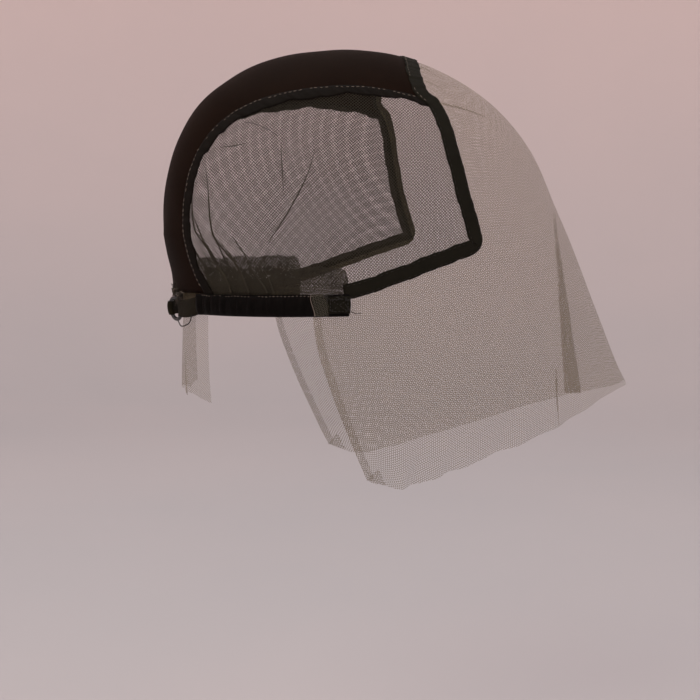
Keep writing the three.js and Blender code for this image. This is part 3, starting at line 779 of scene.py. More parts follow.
tucks = {
    "grid": (60, 4),
    "height": 1.3,
    "above": 0.2,  # the side net
    "thick": 0.2,
    "taper": (0.06, 0.62, 0.94),  # part of a half wave along each fold, to a gathered end or a free one
    "gatheredBelow": 100,
    "rows": [  # width, then x and drop along each fold
        (0.8, [(-80, 78.6), (-76.7, 88.1), (-71, 99.6), (-66.6, 106.2), (-64.2, 113)]),
        (0.6, [
            (-74.6, 56.7), (-73.9, 66.9), (-73.2, 81.2), (-72, 87.3),
            (-67.9, 93.4), (-62.2, 100.7), (-57, 113),
        ]),
        (0.5, [(-69.5, 90), (-64.1, 97.4), (-58.3, 109.5), (-57, 113)]),
        (0.6, [(-64.1, 87.8), (-59.1, 95.9), (-55.8, 103.2), (-50.8, 110.2), (-49.6, 113)]),
        (0.4, [(-53.4, 99.6), (-50.1, 104.4), (-47.8, 110.1), (-46.8, 113)]),
        (0.3, [(-43.2, 46.2), (-43.2, 56.3), (-42.9, 67)]),
        (0.4, [(-28.6, 48.4), (-32.4, 59.7), (-39.8, 74.3), (-50.2, 91.7)]),
        (0.25, [(-68.3, 47.9), (-62.6, 47.3), (-56.2, 46)]),
    ],
}


def buildTucks(side):
    # the left side has only the gathered folds
    start, gatheredEnd, freeEnd = tucks["taper"]
    folds = []
    for number, (wide, row) in enumerate(tucks["rows"]):
        gathered = row[-1][1] > tucks["gatheredBelow"]
        if side == "left" and not gathered:
            continue
        line = throughSpots(sidePoint, row, tucks["grid"][0])
        taper = arch(np.linspace(start, gatheredEnd if gathered else freeEnd, len(line)))
        edges = [along(shifted(line, way * taper * wide / 2)) for way in (-1, 1)]

        def place(u, v):
            ridge = arch(v) * np.interp(u, np.linspace(0, 1, len(taper)), taper)
            level = sideNet["height"] + tucks["above"] + tucks["height"] * wide * ridge
            return lifted(between(edges[0](u), edges[1](u), v), level)

        folds.append(clothGrid(f"tuck_{number}", tucks["grid"], place, netCloth, side))
    dress(thicken(joined(f"net_tucks_{side}", folds), tucks["thick"]))


forBothSides(buildTucks)
print("net tucks")

seamTape = {
    "grid": (240, 6),
    "onStrip": 1.0,
    "onNet": (3, 5.2, 8, 70),  # its width ahead and behind, widening between two lengths along the seam
    "height": 2.4,
    "low": 1.98,  # under the hairline tape and the casing
    "under": 1.5,  # how far it runs under them
    "thick": 0.35,
    "fine": 480,
    "drawnOut": (8, 3),
    "length": 190,
    "edgeWaves": [(27, 0.45, 0.3), (13.1, 0.38, 1.4), (6.3, 0.2, 2.2)],
    "pucker": [(6.3, 0.16, 0.0), (4.1, 0.12, 1.0), (11.0, 0.1, 2.0)],
    "domed": 0.15,
    "casingClear": (0.5, 5),
}
tape = {
    "grid": (420, 8),
    "wide": 7,
    "endAt": 9.5,
    "height": 2.25,
    "thick": 0.35,
    "edgeWaves": [(17, 0.22, 0.2), (8.7, 0.16, 1.9), (5.3, 0.1, 0.8)],
    "outerShare": 0.6,  # of those waves at its outer edge
    "pucker": [(7.9, 0.13, 0.5), (4.7, 0.1, 2.2), (12.4, 0.09, 1.0)],
    "middlePucker": 0.35,
    "mitre": (1.2, 0.3),  # width and height of the fold at each temple
    "domed": 0.12,
}
casing = {
    "grid": (240, 16),
    "top": 113,
    "bottom": 122.9,
    "front": 101.2,
    "rear": 155,
    "rearLower": 1.3,
    "height": 2.8,
    "thick": 0.4,
    "puff": (0.9, 0.45),  # height and power of its rounded section
    "mouth": (0.9, 3),  # how far it opens for the elastic, over how many degrees
    "ruffle": 0.75,
    "ruffleFrom": (109.3, 113.3),
    "ruffleWaves": [(5.4, 0.62, 0.0), (3.3, 0.3, 1.0), (8.9, 0.3, 2.2)],
    "slant": 1.2,
    "reach": 91,
}


def buildSeamTape(side):
    dense = drawnOut(throughSpots(turnPoint, lines["strip"], seamTape["fine"]), *seamTape["drawnOut"])

    def edge(distance):
        path = shifted(dense, distance)
        start = np.nonzero(toHairline(path) < seamTape["under"])[0][-1] + 1
        path = path[start:]
        path = path[-path[:, 2] < casing["top"] + casing["rearLower"] + seamTape["under"]]
        return along(evenly(path, seamTape["grid"][0]))

    s = arcLength(dense)
    ahead, behind, first, last = seamTape["onNet"]
    wide = ahead + (behind - ahead) * smoothStep(s, first, last)
    netEdge = edge(wide + ripple(s, seamTape["edgeWaves"]))
    stripEdge = edge(-seamTape["onStrip"])

    def place(u, v):
        p = between(netEdge(u), stripEdge(u), v)
        clear = smoothStep(toHairline(p), tape["wide"] / 2, tape["wide"])
        clear = clear * smoothStep(casing["top"] + p[:, 2], *seamTape["casingClear"])
        level = seamTape["low"] + (seamTape["height"] - seamTape["low"]) * clear
        pucker = ripple(u * seamTape["length"], seamTape["pucker"]) * (1 - v)
        return lifted(p, level + clear * (pucker + seamTape["domed"] * arch(v)))

    sewn(f"seam_tape_{side}", seamTape, place, seamRibbon, f"crown_seam_{side}", side)


def tapeEdge(distance):
    # the outer edge turns each temple in a small curve
    path = shifted(hairline, distance)
    for corner in bothCorners:
        path = roundedCorner(path, corner)
    return path


def buildHairlineTape():
    s = arcLength(hairline)
    slack = ripple(s, tape["edgeWaves"])
    first, last = tape["endAt"], hairlineEnd - tape["endAt"]
    outer = along(tapeEdge(-tape["wide"] / 2 + tape["outerShare"] * slack), first, last)
    inner = along(shifted(hairline, tape["wide"] / 2 + slack), first, last)
    length = np.interp(last, range(len(s)), s) - np.interp(first, range(len(s)), s)
    corners = [(at - first) / (last - first) for at in bothCorners]

    def place(u, v):
        wide, high = tape["mitre"]
        fold = high * sum(np.exp(-(((u - corner) * length / wide) ** 2)) for corner in corners)
        pucker = ripple(u * length, tape["pucker"]) * (tape["middlePucker"] + np.abs(v - 0.5))
        dome = tape["domed"] * arch(v)
        return lifted(between(outer(u), inner(u), v), tape["height"] + pucker + fold + dome)

    sewn("hairline_tape", tape, place, ribbon, "hairline_ribbon")


forBothSides(buildSeamTape)
print("seam tapes")
buildHairlineTape()
print("hairline tape")

napeNet = {
    "top": 100.8,
    "bottom": 116.4,
    "front": 101.5,
    "rear": 151,
    "reach": 82,
    "cell": 0.85,
    "strand": 0.36,
    "height": 0.55,
    "uneven": 0.09,
    "corner": 4,
    "short": 0.5,
    "waves": [(21, 0.4, 0.4), (8, 0.25, 1.2)],
}


def buildNapeNet(side):
    reach, corner = napeNet["reach"], napeNet["corner"]
    width = math.radians(napeNet["rear"] - napeNet["front"]) * reach
    drop = napeNet["bottom"] - napeNet["top"]
    bm, spots = diamondNet(width, drop, napeNet["cell"])
    ahead, up = spots.T
    rounding = np.maximum(corner - ahead, 0)
    upper = drop - napeNet["short"] - ripple(ahead, napeNet["waves"])
    upper -= corner - np.sqrt(np.maximum(corner**2 - rounding**2, 0))
    places = bearingPoint(napeNet["front"] + np.degrees(ahead / reach), napeNet["bottom"] - up)
    places = lifted(places, napeNet["height"]) + rng.normal(0, napeNet["uneven"], places.shape)
    piece = strandedNet(f"net_nape_{side}", bm, onSide(places, side), up < upper, napeNet["strand"])
    dress(piece, f"nape_net_{side}")


forBothSides(buildNapeNet)
print("nape nets")


def casingDrop(bearing, share):
    # share 0 is its lower edge; the band hangs lower at the rear
    back = (bearing - casing["front"]) / (casing["rear"] - casing["front"])
    return casing["bottom"] + (casing["top"] - casing["bottom"]) * share + casing["rearLower"] * back


def buildCasing(side):
    def place(u, v):
        bearing = casing["rear"] + (casing["front"] - casing["rear"]) * u
        around = np.radians(bearing) * casing["reach"] + casing["slant"] * (v - 0.5)
        ruffle = casing["ruffle"] * (0.5 + 0.5 * ripple(around, casing["ruffleWaves"])) * arch(v)
        ruffle = ruffle * smoothStep(bearing, *casing["ruffleFrom"])
        puff, power = casing["puff"]
        puff = puff * np.clip(4 * v * (1 - v), 0, 1) ** power
        mouth, reach = casing["mouth"]
        mouth = mouth * smoothStep(bearing, casing["rear"] - reach, casing["rear"])
        point = bearingPoint(bearing, casingDrop(bearing, v))
        return lifted(point, casing["height"] + puff + mouth + ruffle)

    sewn(f"casing_{side}", casing, place, casingSatin, f"nape_casing_{side}", side)


forBothSides(buildCasing)
print("casings")

ringShape = {
    "centreRadius": 5.3,
    "wire": 0.95,
    "drop": 123.7,
    "bearing": 176.8,
    "standOff": 4.3,
    "twist": 21,
    "lean": 6,
    "steps": 72,
    "sides": 20,
}
strap = {
    "grid": (90, 8),
    "thick": 0.4,
    "wide": 8.4,
    "wideAtRing": 6.6,
    "narrowing": (0.1, 0.26),  # share of its length from the loop's middle
    "clear": 0.22,
    "inCasing": 0.8,
    "ringBearing": 171,
    "besideBar": 1,
    "loop": (75, -75, 7),  # first and last angle round the bar, and how many places
    "lay": [  # share of the way to the ring, drop, height of the outer and the inner layer
        (0, 119.7, 3.45, 2.6),
        (0.33, 121.7, 4, 2.7),
        (0.67, 122.8, 4.1, 2.7),
        (1, 123.7, 4.1, 2.7),
    ],
}


def levelNormal(p):
    return unit(normalsAt(p) * [1, 1, 0])


ringSeat = bearingPoint(ringShape["bearing"], ringShape["drop"])
ringTurn = math.radians(ringShape["bearing"] - ringShape["twist"])
ringLean = math.radians(ringShape["lean"])
upright = np.array([0, 0, 1.0])
outwards = np.array([math.cos(ringTurn), -math.sin(ringTurn), 0])
ringSide = np.cross(upright, outwards)
ringUp = upright * math.cos(ringLean) + outwards * math.sin(ringLean)
ringOut = outwards * math.cos(ringLean) - upright * math.sin(ringLean)
ringCentre = ringSeat + levelNormal(ringSeat) * ringShape["standOff"]


def spun(bm, steps):
    # what is in the mesh, turned once round the upright axis
    turn = {"cent": (0, 0, 0), "axis": (0, 0, 1), "angle": 2 * math.pi, "steps": steps, "use_merge": True}
    bmesh.ops.spin(bm, geom=bm.verts[:] + bm.edges[:], **turn)


def buildRing():
    bm = bmesh.new()
    turn = Matrix((ringSide, ringUp, ringOut)).transposed().to_4x4()
    turn.translation = Vector(ringCentre * mm)
    wire = {"segments": ringShape["sides"], "radius": ringShape["wire"] * mm}
    section = bmesh.ops.create_circle(bm, **wire)["verts"]
    bmesh.ops.rotate(bm, verts=section, cent=(0, 0, 0), matrix=Matrix.Rotation(math.pi / 2, 3, "X"))
    bmesh.ops.translate(bm, verts=section, vec=(ringShape["centreRadius"] * mm, 0, 0))
    spun(bm, ringShape["steps"])
    bmesh.ops.transform(bm, verts=bm.verts, matrix=turn)
    bmesh.ops.recalc_face_normals(bm, faces=bm.faces)
    dress(pieceFrom("ring", bm, ringPlastic), "nape_ring")


def buildStrap(side):
    sideways = ringSide if side == "right" else -ringSide
    bar = ringShape["centreRadius"]
    lift = ringShape["wire"] + strap["clear"]

    def atRing(aside, out):
        return ringCentre + sideways * aside + ringOut * out

    def overHead(share, drop, height):
        start = casing["rear"] - strap["inCasing"]
        seat = bearingPoint(start + share * (strap["ringBearing"] - start), drop)
        return onSide(seat + levelNormal(seat) * height, side)

    beside = bar + strap["besideBar"]
    route = [overHead(share, drop, outer) for share, drop, outer, _ in strap["lay"]]
    route += [atRing(beside, lift)]
    for turn in np.radians(np.linspace(*strap["loop"])):
        route += [atRing(bar - lift * np.cos(turn), lift * np.sin(turn))]
    route += [atRing(beside, -lift)]
    route += [overHead(share, drop, inner) for share, drop, _, inner in reversed(strap["lay"])]
    path = smoothPath(route, strap["grid"][0])
    arc = arcLength(path) / arcLength(path)[-1]
    narrow = smoothStep(np.abs(arc - 0.5), *strap["narrowing"])
    wide = strap["wideAtRing"] + (strap["wide"] - strap["wideAtRing"]) * narrow
    line, steps = along(path), np.linspace(0, 1, len(wide))

    def place(u, v):
        across = (v - 0.5) * np.interp(u, steps, wide)
        near = 1 - np.interp(u, steps, narrow)
        up = unit(upright + (ringUp - upright) * near[:, None])
        inwards = bar - np.sqrt(bar**2 - (across * near) ** 2)  # the loop bends with the ring
        return line(u) + up * across[:, None] - sideways * inwards[:, None]

    sewn(f"elastic_{side}", strap, place, elastic, f"nape_strap_{side}")


buildRing()
forBothSides(buildStrap)
print("ring and elastic")

earTab = {
    "grid": (24, 24),
    "top": 113.8,
    "bottom": 121.2,
    "front": 100.9,
    "rear": 108.3,
    "height": 5.0,
    "thick": 0.7,
    "uneven": (0.12, 9, 0.15, 7),  # height and turns of a wave along its sides, then along its ends
    "size": (10, 6),
    "waves": [(4.2, 0.12, 0.3), (2.7, 0.08, 1.0)],
    "edge": (0.5, 6),  # how far its edges go down, and the power of that curve
}


def buildEarTab(side):
    def place(u, v):
        sides, sideTurns, ends, endTurns = earTab["uneven"]
        bearing = earTab["rear"] + (earTab["front"] - earTab["rear"]) * u + sides * np.sin(sideTurns * v)
        drop = earTab["bottom"] + (earTab["top"] - earTab["bottom"]) * v + ends * np.sin(endTurns * u)
        soft = ripple(u * earTab["size"][0] + v * earTab["size"][1], earTab["waves"])
        edge, power = earTab["edge"]
        edge = edge * (np.abs(2 * u - 1) ** power + np.abs(2 * v - 1) ** power)
        return lifted(bearingPoint(bearing, drop), earTab["height"] + soft - edge)

    sewn(f"tab_{side}", earTab, place, ribbon, f"ear_tab_{side}", side)


forBothSides(buildEarTab)
print("ear tabs")

napeLace = {
    "grid": (72, 60),
    "top": 109,
    "bottom": 165.6,
    "half": 26.8,
    "length": 80,
    "height": -1.1,
    "flare": 4.2,
    "hemUp": 1.2,
    "hemWaves": [(31, 1.2, 0.6), (17, 0.6, 2.0)],
    "waves": [(26, 0.9, 0.2), (15, 0.5, 1.3)],
    "waveSlant": 6,
    "wavePower": 1.5,
}


def buildNapeLace():
    def place(u, v):
        across = u * napeLace["length"]
        hem = ripple(across, napeLace["hemWaves"]) * v - napeLace["hemUp"]
        drop = napeLace["top"] + (napeLace["bottom"] - napeLace["top"] + hem) * v
        wave = v ** napeLace["wavePower"] * ripple(across + napeLace["waveSlant"] * v, napeLace["waves"])
        point = bearingPoint(180 + napeLace["half"] * (2 * u - 1), drop)
        return lifted(point, napeLace["height"] + napeLace["flare"] * v + wave)

    dress(clothGrid("lace_nape", napeLace["grid"], place, lace), "nape_lace")


buildNapeLace()
print("nape lace")

frontLace = {
    "fallRows": 84,
    "height": 1.8,
    "rearEdge": [(-31.4, 115), (-27.8, 139), (-22.8, 154.3), (-14.3, 175.8), (-2.7, 201.5)],  # x, drop
    "rearSteps": 120,
    "hem": [  # bearing, drop
        (92.9, 201.5), (75, 206), (61, 202.8), (40.3, 192.7),
        (23.2, 180.6), (15.4, 172.1), (6.9, 166.9), (0, 165),
    ],
    "leftHem": [
        (92.9, 201.5), (75, 206), (61, 203.5), (40.3, 195.5), (23.2, 183.8),
        (16.6, 178.2), (10, 173.2), (4.5, 168.8), (0, 165),
    ],
    "hemSteps": 240,
    "hemBelowTemple": 0.33,
    "browDrop": 79,
    "flutter": [(23, 0.9, 0.4), (13, 0.5, 1.0)],
    "perDegree": 1.6,  # mm along the hem
    "folds": [  # bearing and drop at the top and at the hem; height and width
        (-10.5, 98, -12.8, 172, 4.5, 4.5),
        (27, 140, 23.2, 180, 2, 3.5),
        (105, 126, 78, 180, 1.6, 3.5),
        (-105, 126, -78, 180, 1.6, 3.5),
    ],
    "creases": [  # from x, y in plan to x, y in plan; height and width
        (26.3, 34.4, 37, 37.6, 0.8, 1.0),
        (24.8, 47.5, 35.5, 47.8, 0.9, 1.0),
        (30.2, 56.5, 56.2, 46.5, 0.8, 1.2),
    ],
    "creaseFade": 0.7,
}
rightHemPath = throughSpots(bearingPoint, frontLace["hem"], frontLace["hemSteps"])
leftHemPath = throughSpots(bearingPoint, frontLace["leftHem"], frontLace["hemSteps"])
laceRear = throughSpots(sidePoint, frontLace["rearEdge"], frontLace["rearSteps"])
laceRear[0], laceRear[-1] = laceEdge[0], rightHemPath[0]


def laceLevel(p):
    rise = np.zeros(len(p))
    for topBearing, topDrop, hemBearing, hemDrop, height, width in frontLace["folds"]:
        share = np.clip((-p[:, 2] - topDrop) / (hemDrop - topDrop), 0, 1)
        line = topBearing + (hemBearing - topBearing) * share
        away = np.radians(bearingOf(p) - line) * np.hypot(p[:, 0], p[:, 1])
        rise += height * share * np.exp(-((away / width) ** 2))
    return frontLace["height"] + rise


def planCreases(p):
    rise = np.zeros(len(p))
    for fromX, fromY, toX, toY, height, width in frontLace["creases"]:
        share, away = toLine(p[:, :2] * [1, -1], (fromX, fromY), (toX, toY))
        fade = (1 - share) ** frontLace["creaseFade"]
        rise = np.maximum(rise, height * fade * np.exp(-((away / width) ** 2)))
    return rise


def brow(t):
    # the line over the forehead where the lace begins to fall, from temple to temple
    corner = laceEdge[cornerAt]
    half = np.minimum(np.where(t < 0.5, 2 * t, 2 - 2 * t), 1)
    low = np.cos(math.pi / 2 * half) ** 2
    drop = frontLace["browDrop"] + (-corner[2] - frontLace["browDrop"]) * low
    places = bearingPoint(bearingOf(corner) * (1 - half), drop)
    return np.where((t < 0.5)[:, None], places, places * mirrorY)


def buildFrontLace():
    ear, temple = lines["earSteps"], lines["templeSteps"]
    columns = 2 * (ear + lines["crownSteps"])
    rows = temple + frontLace["fallRows"]
    rightHem, leftHem = along(rightHemPath), along(leftHemPath)
    underEar = along(laceEdge, 0, cornerAt)
    templeShare = 2 * ear / columns
    behind = frontLace["hemBelowTemple"]

    def overFace(column):
        return np.clip((column - ear) / (columns - 2 * ear), 0, 1)

    def hem(t):
        half = np.where(t < 0.5, 2 * t, 2 - 2 * t)
        ahead = behind + (half - templeShare) / (1 - templeShare) * (1 - behind)
        share = np.where(half < templeShare, half / templeShare * behind, ahead)
        return np.where((t < 0.5)[:, None], rightHem(share), leftHem(share) * mirrorY)

    def upperEdge(t):
        column = t * columns
        ears = underEar(np.clip(np.minimum(column, columns - column) / ear, 0, 1))
        ears = np.where((t < 0.5)[:, None], ears, ears * mirrorY)
        inFront = (column > ear) & (column < columns - ear)
        return np.where(inFront[:, None], brow(overFace(column)), ears)

    topEdge = along(laceEdge, jointAt, hairlineEnd - jointAt)
    forehead = patch(topEdge, brow, along(laceEdge, jointAt, cornerAt))
    fall = patch(upperEdge, hem, along(laceRear))

    def place(u, v):
        column, row = u * columns, v * rows
        down = np.clip((row - temple) / frontLace["fallRows"], 0, 1)
        upper = forehead(overFace(column), np.clip(row / temple, 0, 1))
        p = np.where((row < temple - 0.5)[:, None], upper, fall(u, down))
        flutter = down**3 * ripple(bearingOf(p) * frontLace["perDegree"], frontLace["flutter"])
        return lifted(p, laceLevel(p) + planCreases(p) + flutter)

    def covered(i, j):
        return j >= temple or ear <= i < columns - ear

    piece = clothGrid("lace_front", (columns, rows), place, lace, covered=covered)
    dress(piece, "front_lace")
    area = sum(face.area for face in piece.data.polygons)
    print("front lace", round(area, 5), "m2", len(piece.data.polygons), "faces")


buildFrontLace()

laceTrim = {
    "pleatLeft": [  # bearing, drop
        (7.1, 78.1), (0.3, 84.8), (-6.7, 97.9), (-11.9, 119.4),
        (-13.2, 140.5), (-13.3, 159.4), (-13.3, 174.4),
    ],
    "pleatRight": [
        (8, 78.1), (2, 84.8), (-4.3, 97.7), (-8.9, 119),
        (-10.4, 140.3), (-10, 158.8), (-10, 173.6),
    ],
    "pleatSteps": 120,
    "pleatGrid": (12, 60),
    "pleatInside": (0.7, 1.4),  # how far under the lace its layers lie
    "hungCreases": [[(26.5, 152), (25, 167.2), (23.5, 179.6)]],  # bearing, drop
    "crownCreases": [  # x, y in plan
        [(26.3, 34.4), (31, 35.4), (37, 37.6)],
        [(24.8, 47.5), (30, 47.4), (35.5, 47.8)],
        [(30.2, 56.5), (43, 52.5), (56.2, 46.5)],
    ],
    "creaseGrid": (3, 40),
    "creaseWide": 1.0,
    "creaseTaper": (0.3, 0.95),
    "creaseInside": (0.3, 0.6),
    "foldGrid": (8, 90),
    "foldWide": 3.6,
    "foldHeight": (0.5, 0.5),  # above the lace, and how far it bulges
    "corner": [(93.2, 201.2), (83.2, 204.2), (87.7, 195.4)],  # bearing, drop
    "cornerGrid": (12, 12),
    "cornerLift": 0.9,
    "lap": [(113.2, 112.7), (108, 112.7), (108, 122.6), (112.3, 122.6)],
    "lapGrid": (10, 16),
    "lapHeight": 5.0,
    "lapWave": (0.3, 7),
}


def pressedLayers(name, left, right, size, level, depths):
    # more layers of the lace, just under it, where it folds back on itself
    layers = []
    for depth in depths:
        def place(u, v):
            p = between(left(v), right(v), u)
            return lifted(p, level(p) - depth)

        layers.append(clothGrid(f"{name}_{depth}", size, place, lace))
    return layers


def buildPleat():
    left = along(throughSpots(bearingPoint, laceTrim["pleatLeft"], laceTrim["pleatSteps"]))
    right = along(throughSpots(bearingPoint, laceTrim["pleatRight"], laceTrim["pleatSteps"]))
    layers = pressedLayers("pleat", left, right, laceTrim["pleatGrid"], laceLevel, laceTrim["pleatInside"])
    dress(joined("lace_pleat", layers))


def buildCreases():
    steps = laceTrim["creaseGrid"][1]
    creases = [throughSpots(bearingPoint, row, steps) for row in laceTrim["hungCreases"]]
    creases += [throughSpots(topPoint, row, steps) for row in laceTrim["crownCreases"]]
    taper = arch(np.linspace(*laceTrim["creaseTaper"], steps + 1))
    layers = []
    for line in creases:
        left, right = [along(shifted(line, way * taper * laceTrim["creaseWide"] / 2)) for way in (-1, 1)]
        shape = (laceTrim["creaseGrid"], lambda p: laceLevel(p) + planCreases(p), laceTrim["creaseInside"])
        layers += pressedLayers("crease", left, right, *shape)
    dress(joined("lace_creases", layers))


def buildRearFold(side):
    # the rear edge and its low corner turned back, and the lap that is sewn over the end of the nape band
    outer, inner = along(laceRear), along(shifted(laceRear, laceTrim["foldWide"]))
    a, b, c = [bearingPoint(*spot) for spot in laceTrim["corner"]]
    lapCorners = [bearingPoint(*spot) for spot in laceTrim["lap"]]

    def fold(u, v):
        p = between(outer(v), inner(v), u)
        above, bulge = laceTrim["foldHeight"]
        return lifted(p, laceLevel(p) + above + bulge * arch(u))

    def corner(u, v):
        p = a * (1 - u)[:, None] + (b * (1 - v)[:, None] + c * v[:, None]) * u[:, None]
        return lifted(ontoForm(p), frontLace["height"] + laceTrim["cornerLift"] * u)

    def lap(u, v):
        shares = [(1 - u) * (1 - v), u * (1 - v), u * v, (1 - u) * v]
        p = ontoForm(sum(spot * share[:, None] for spot, share in zip(lapCorners, shares)))
        wave, turns = laceTrim["lapWave"]
        return lifted(p, laceTrim["lapHeight"] + wave * np.sin(turns * v) * (1 - u))

    layers = [clothGrid("fold", laceTrim["foldGrid"], fold, lace, side)]
    layers += [clothGrid("corner", laceTrim["cornerGrid"], corner, lace, side)]
    dress(joined(f"lace_fold_{side}", layers))
    dress(clothGrid(f"lace_lap_{side}", laceTrim["lapGrid"], lap, lapLaceInShade, side))


buildPleat()
buildCreases()
forBothSides(buildRearFold)
print("lace folds")

stitching = {
    "seam": {"length": 1.6, "gap": 0.8, "radius": 0.15, "missed": 0.12},
    "casing": {"length": 0.9, "gap": 0.9, "radius": 0.16, "missed": 0.2},
    "tape": {"length": 1.5, "gap": 1.1, "radius": 0.13, "missed": 0.1},
    "tab": {"length": 1.1, "gap": 0.4, "radius": 0.22, "missed": 0.05},
}
seams = {
    "clearOfTape": 4.2,
    "seamWaves": [(31, 0.3, 0.0), (12, 0.2, 1.1)],
    "seamInset": 0.2,
    "aboveSeam": 0.3,
    "casingEnds": (109.5, 0.5),  # first bearing, and how far short of the rear
    "casingShare": 0.95,
    "casingWaves": [(7, 0.15, 0.0)],
    "casingHeight": 3.55,
    "tapeInner": 0.9,  # in from the edges of the hairline tape
    "tapeOuter": 0.8,
    "tapeEnds": 10,
    "aboveTape": 0.4,
    "tabBox": (107.4, 101.7, 114.8, 120.3),  # left, right, top and bottom, in bearings and drops
    "aboveTab": 0.55,
    "steps": 120,
}


def seamRun(path, height):
    return lifted(path, height), normalsAt(path)


def bothSides(run):
    return [run, (run[0] * mirrorY, run[1] * mirrorY)]


def buildStitches():
    clear = (toHairline(seamLine) > seams["clearOfTape"]) & (-seamLine[:, 2] < casing["top"])
    wander = ripple(arcLength(seamLine), seams["seamWaves"]) - seams["seamInset"]
    seam = seamRun(shifted(seamLine, wander)[clear], seamTape["height"] + seams["aboveSeam"])
    dress(stitches("seam_stitches", bothSides(seam), paleThread, **stitching["seam"]))

    start, short = seams["casingEnds"]
    bearings = np.linspace(start, casing["rear"] - short, seams["steps"])
    drops = casingDrop(bearings, seams["casingShare"]) + ripple(bearings, seams["casingWaves"])
    band = seamRun(bearingPoint(bearings, drops), seams["casingHeight"])
    dress(stitches("casing_stitches", bothSides(band), paleThread, **stitching["casing"]))

    level = tape["height"] + seams["aboveTape"]
    first, last = seams["tapeEnds"], hairlineEnd - seams["tapeEnds"] + 1
    inner = shifted(hairline, tape["wide"] / 2 - seams["tapeInner"])
    outer = tapeEdge(-tape["wide"] / 2 + seams["tapeOuter"])
    # the crown stretch of the tape's inner seam is drawn in pale thread: a painted glint where the top light
    # catches the stitches; the rest of this seam is dark thread
    crown = seamRun(inner[jointAt + 2:hairlineEnd - jointAt - 1], level)
    dress(stitches("crown_stitches_painted_glint", [crown], paleThread, **stitching["tape"]))
    parts = [outer[first:last], inner[first:jointAt], inner[hairlineEnd - jointAt:last]]
    edges = [seamRun(part, level) for part in parts]
    dress(stitches("tape_stitches", edges, darkThread, **stitching["tape"]))

    left, right, top, bottom = seams["tabBox"]
    acrossBox = [left, right, right, left, left, right, right, left]  # round the box, then over its diagonals
    downBox = [top, top, bottom, bottom, top, bottom, top, bottom]
    boxPath = evenly(bearingPoint(acrossBox, downBox), seams["steps"])
    box = seamRun(boxPath, earTab["height"] + seams["aboveTab"])
    dress(stitches("tab_stitches", bothSides(box), darkThread, **stitching["tab"]))


looseEnds = {
    "curl": [  # bearing, drop, height
        (102.6, 117, 5.4), (101.4, 119.3, 5.2), (100, 121, 4.4), (98.6, 121.6, 4), (97.2, 121.3, 3.6),
    ],
    "loop": [
        (158, 124.6, 5), (158.6, 126.7, 5), (160, 128.7, 5), (162.7, 130, 5),
        (166.2, 130.9, 5), (168, 130.6, 5), (170.5, 128.8, 5),
    ],
    "lapEdge": [
        (113.3, 112.5, 5.2), (113.5, 115, 5.2), (113, 118, 5.2), (112.5, 120.6, 5.2), (112.3, 122.8, 5.2),
    ],
    "stray": [(-57.3, 37.2, 3), (-52.9, 38.6, 4), (-48.6, 40.5, 3.8), (-44.2, 43.4, 2.6)],  # x, drop, height
    "straySteps": 20,
    "tangle": {"count": 16, "bearings": (101.5, 109.5), "drops": (112.2, 115), "heights": (4.6, 6.2)},
    "tangleWander": (0.8, 1.0),  # in bearing and drop
    "tangleSteps": 12,
    "fray": {"count": 110, "bearings": (165, 191), "drops": (112.5, 120), "heights": (3, 4.8)},
    "frayWander": (0.8, 0.7),
    "fraySteps": 10,
    # three of the fray threads are drawn in pale thread as painted glints on the fray
    "glintFrays": 3,
    "radius": {"dark": 0.17, "loop": 0.28, "pale": 0.14, "fray": 0.13},
}


def loose(rows, count=24):
    # a smooth thread through bearings, drops and heights above the form
    bearings, drops, heights = np.array(rows, float).T
    return smoothPath(lifted(bearingPoint(bearings, drops), heights), count)


def bothWays(paths):
    return [*paths, *[path * mirrorY for path in paths]]


def buildLooseThreads():
    x, drop, height = np.array(looseEnds["stray"]).T
    stray = smoothPath(lifted(sidePoint(x, drop), height), looseEnds["straySteps"])
    curls = [loose(looseEnds["curl"])]
    knot = looseEnds["tangle"]
    starts = [rng.uniform(*knot[key], knot["count"]) for key in ("bearings", "drops")]
    for start in np.transpose(starts):
        spots = start + rng.uniform(-1, 1, (4, 2)).cumsum(0) * looseEnds["tangleWander"]
        rows = np.column_stack([spots, rng.uniform(*knot["heights"], 4)])
        curls.append(loose(rows, looseEnds["tangleSteps"]))
    fray = looseEnds["fray"]
    frays = []
    for bearing in rng.uniform(*fray["bearings"], fray["count"]):
        turn = np.concatenate([[(0, 0)], rng.normal(0, 1, (3, 2)).cumsum(0) * looseEnds["frayWander"]])
        spots = np.array([bearing, rng.uniform(*fray["drops"])]) + turn
        rows = np.column_stack([spots, rng.uniform(*fray["heights"], 4)])
        frays.append(loose(rows, looseEnds["fraySteps"]))
    radius = looseEnds["radius"]
    pale = looseEnds["glintFrays"]
    paleEnds = [*bothWays([loose(looseEnds["lapEdge"])]), *frays[:pale]]
    dress(threads("dark_threads", bothWays(curls) + [stray], darkThread, radius["dark"]))
    dress(threads("nape_loop", [loose(looseEnds["loop"])], darkThread, radius["loop"]))
    dress(threads("pale_threads", paleEnds, paleThread, radius["pale"]))
    dress(threads("fray_threads", frays[pale:], fraySand, radius["fray"]))


buildStitches()
buildLooseThreads()
print("stitches and threads")

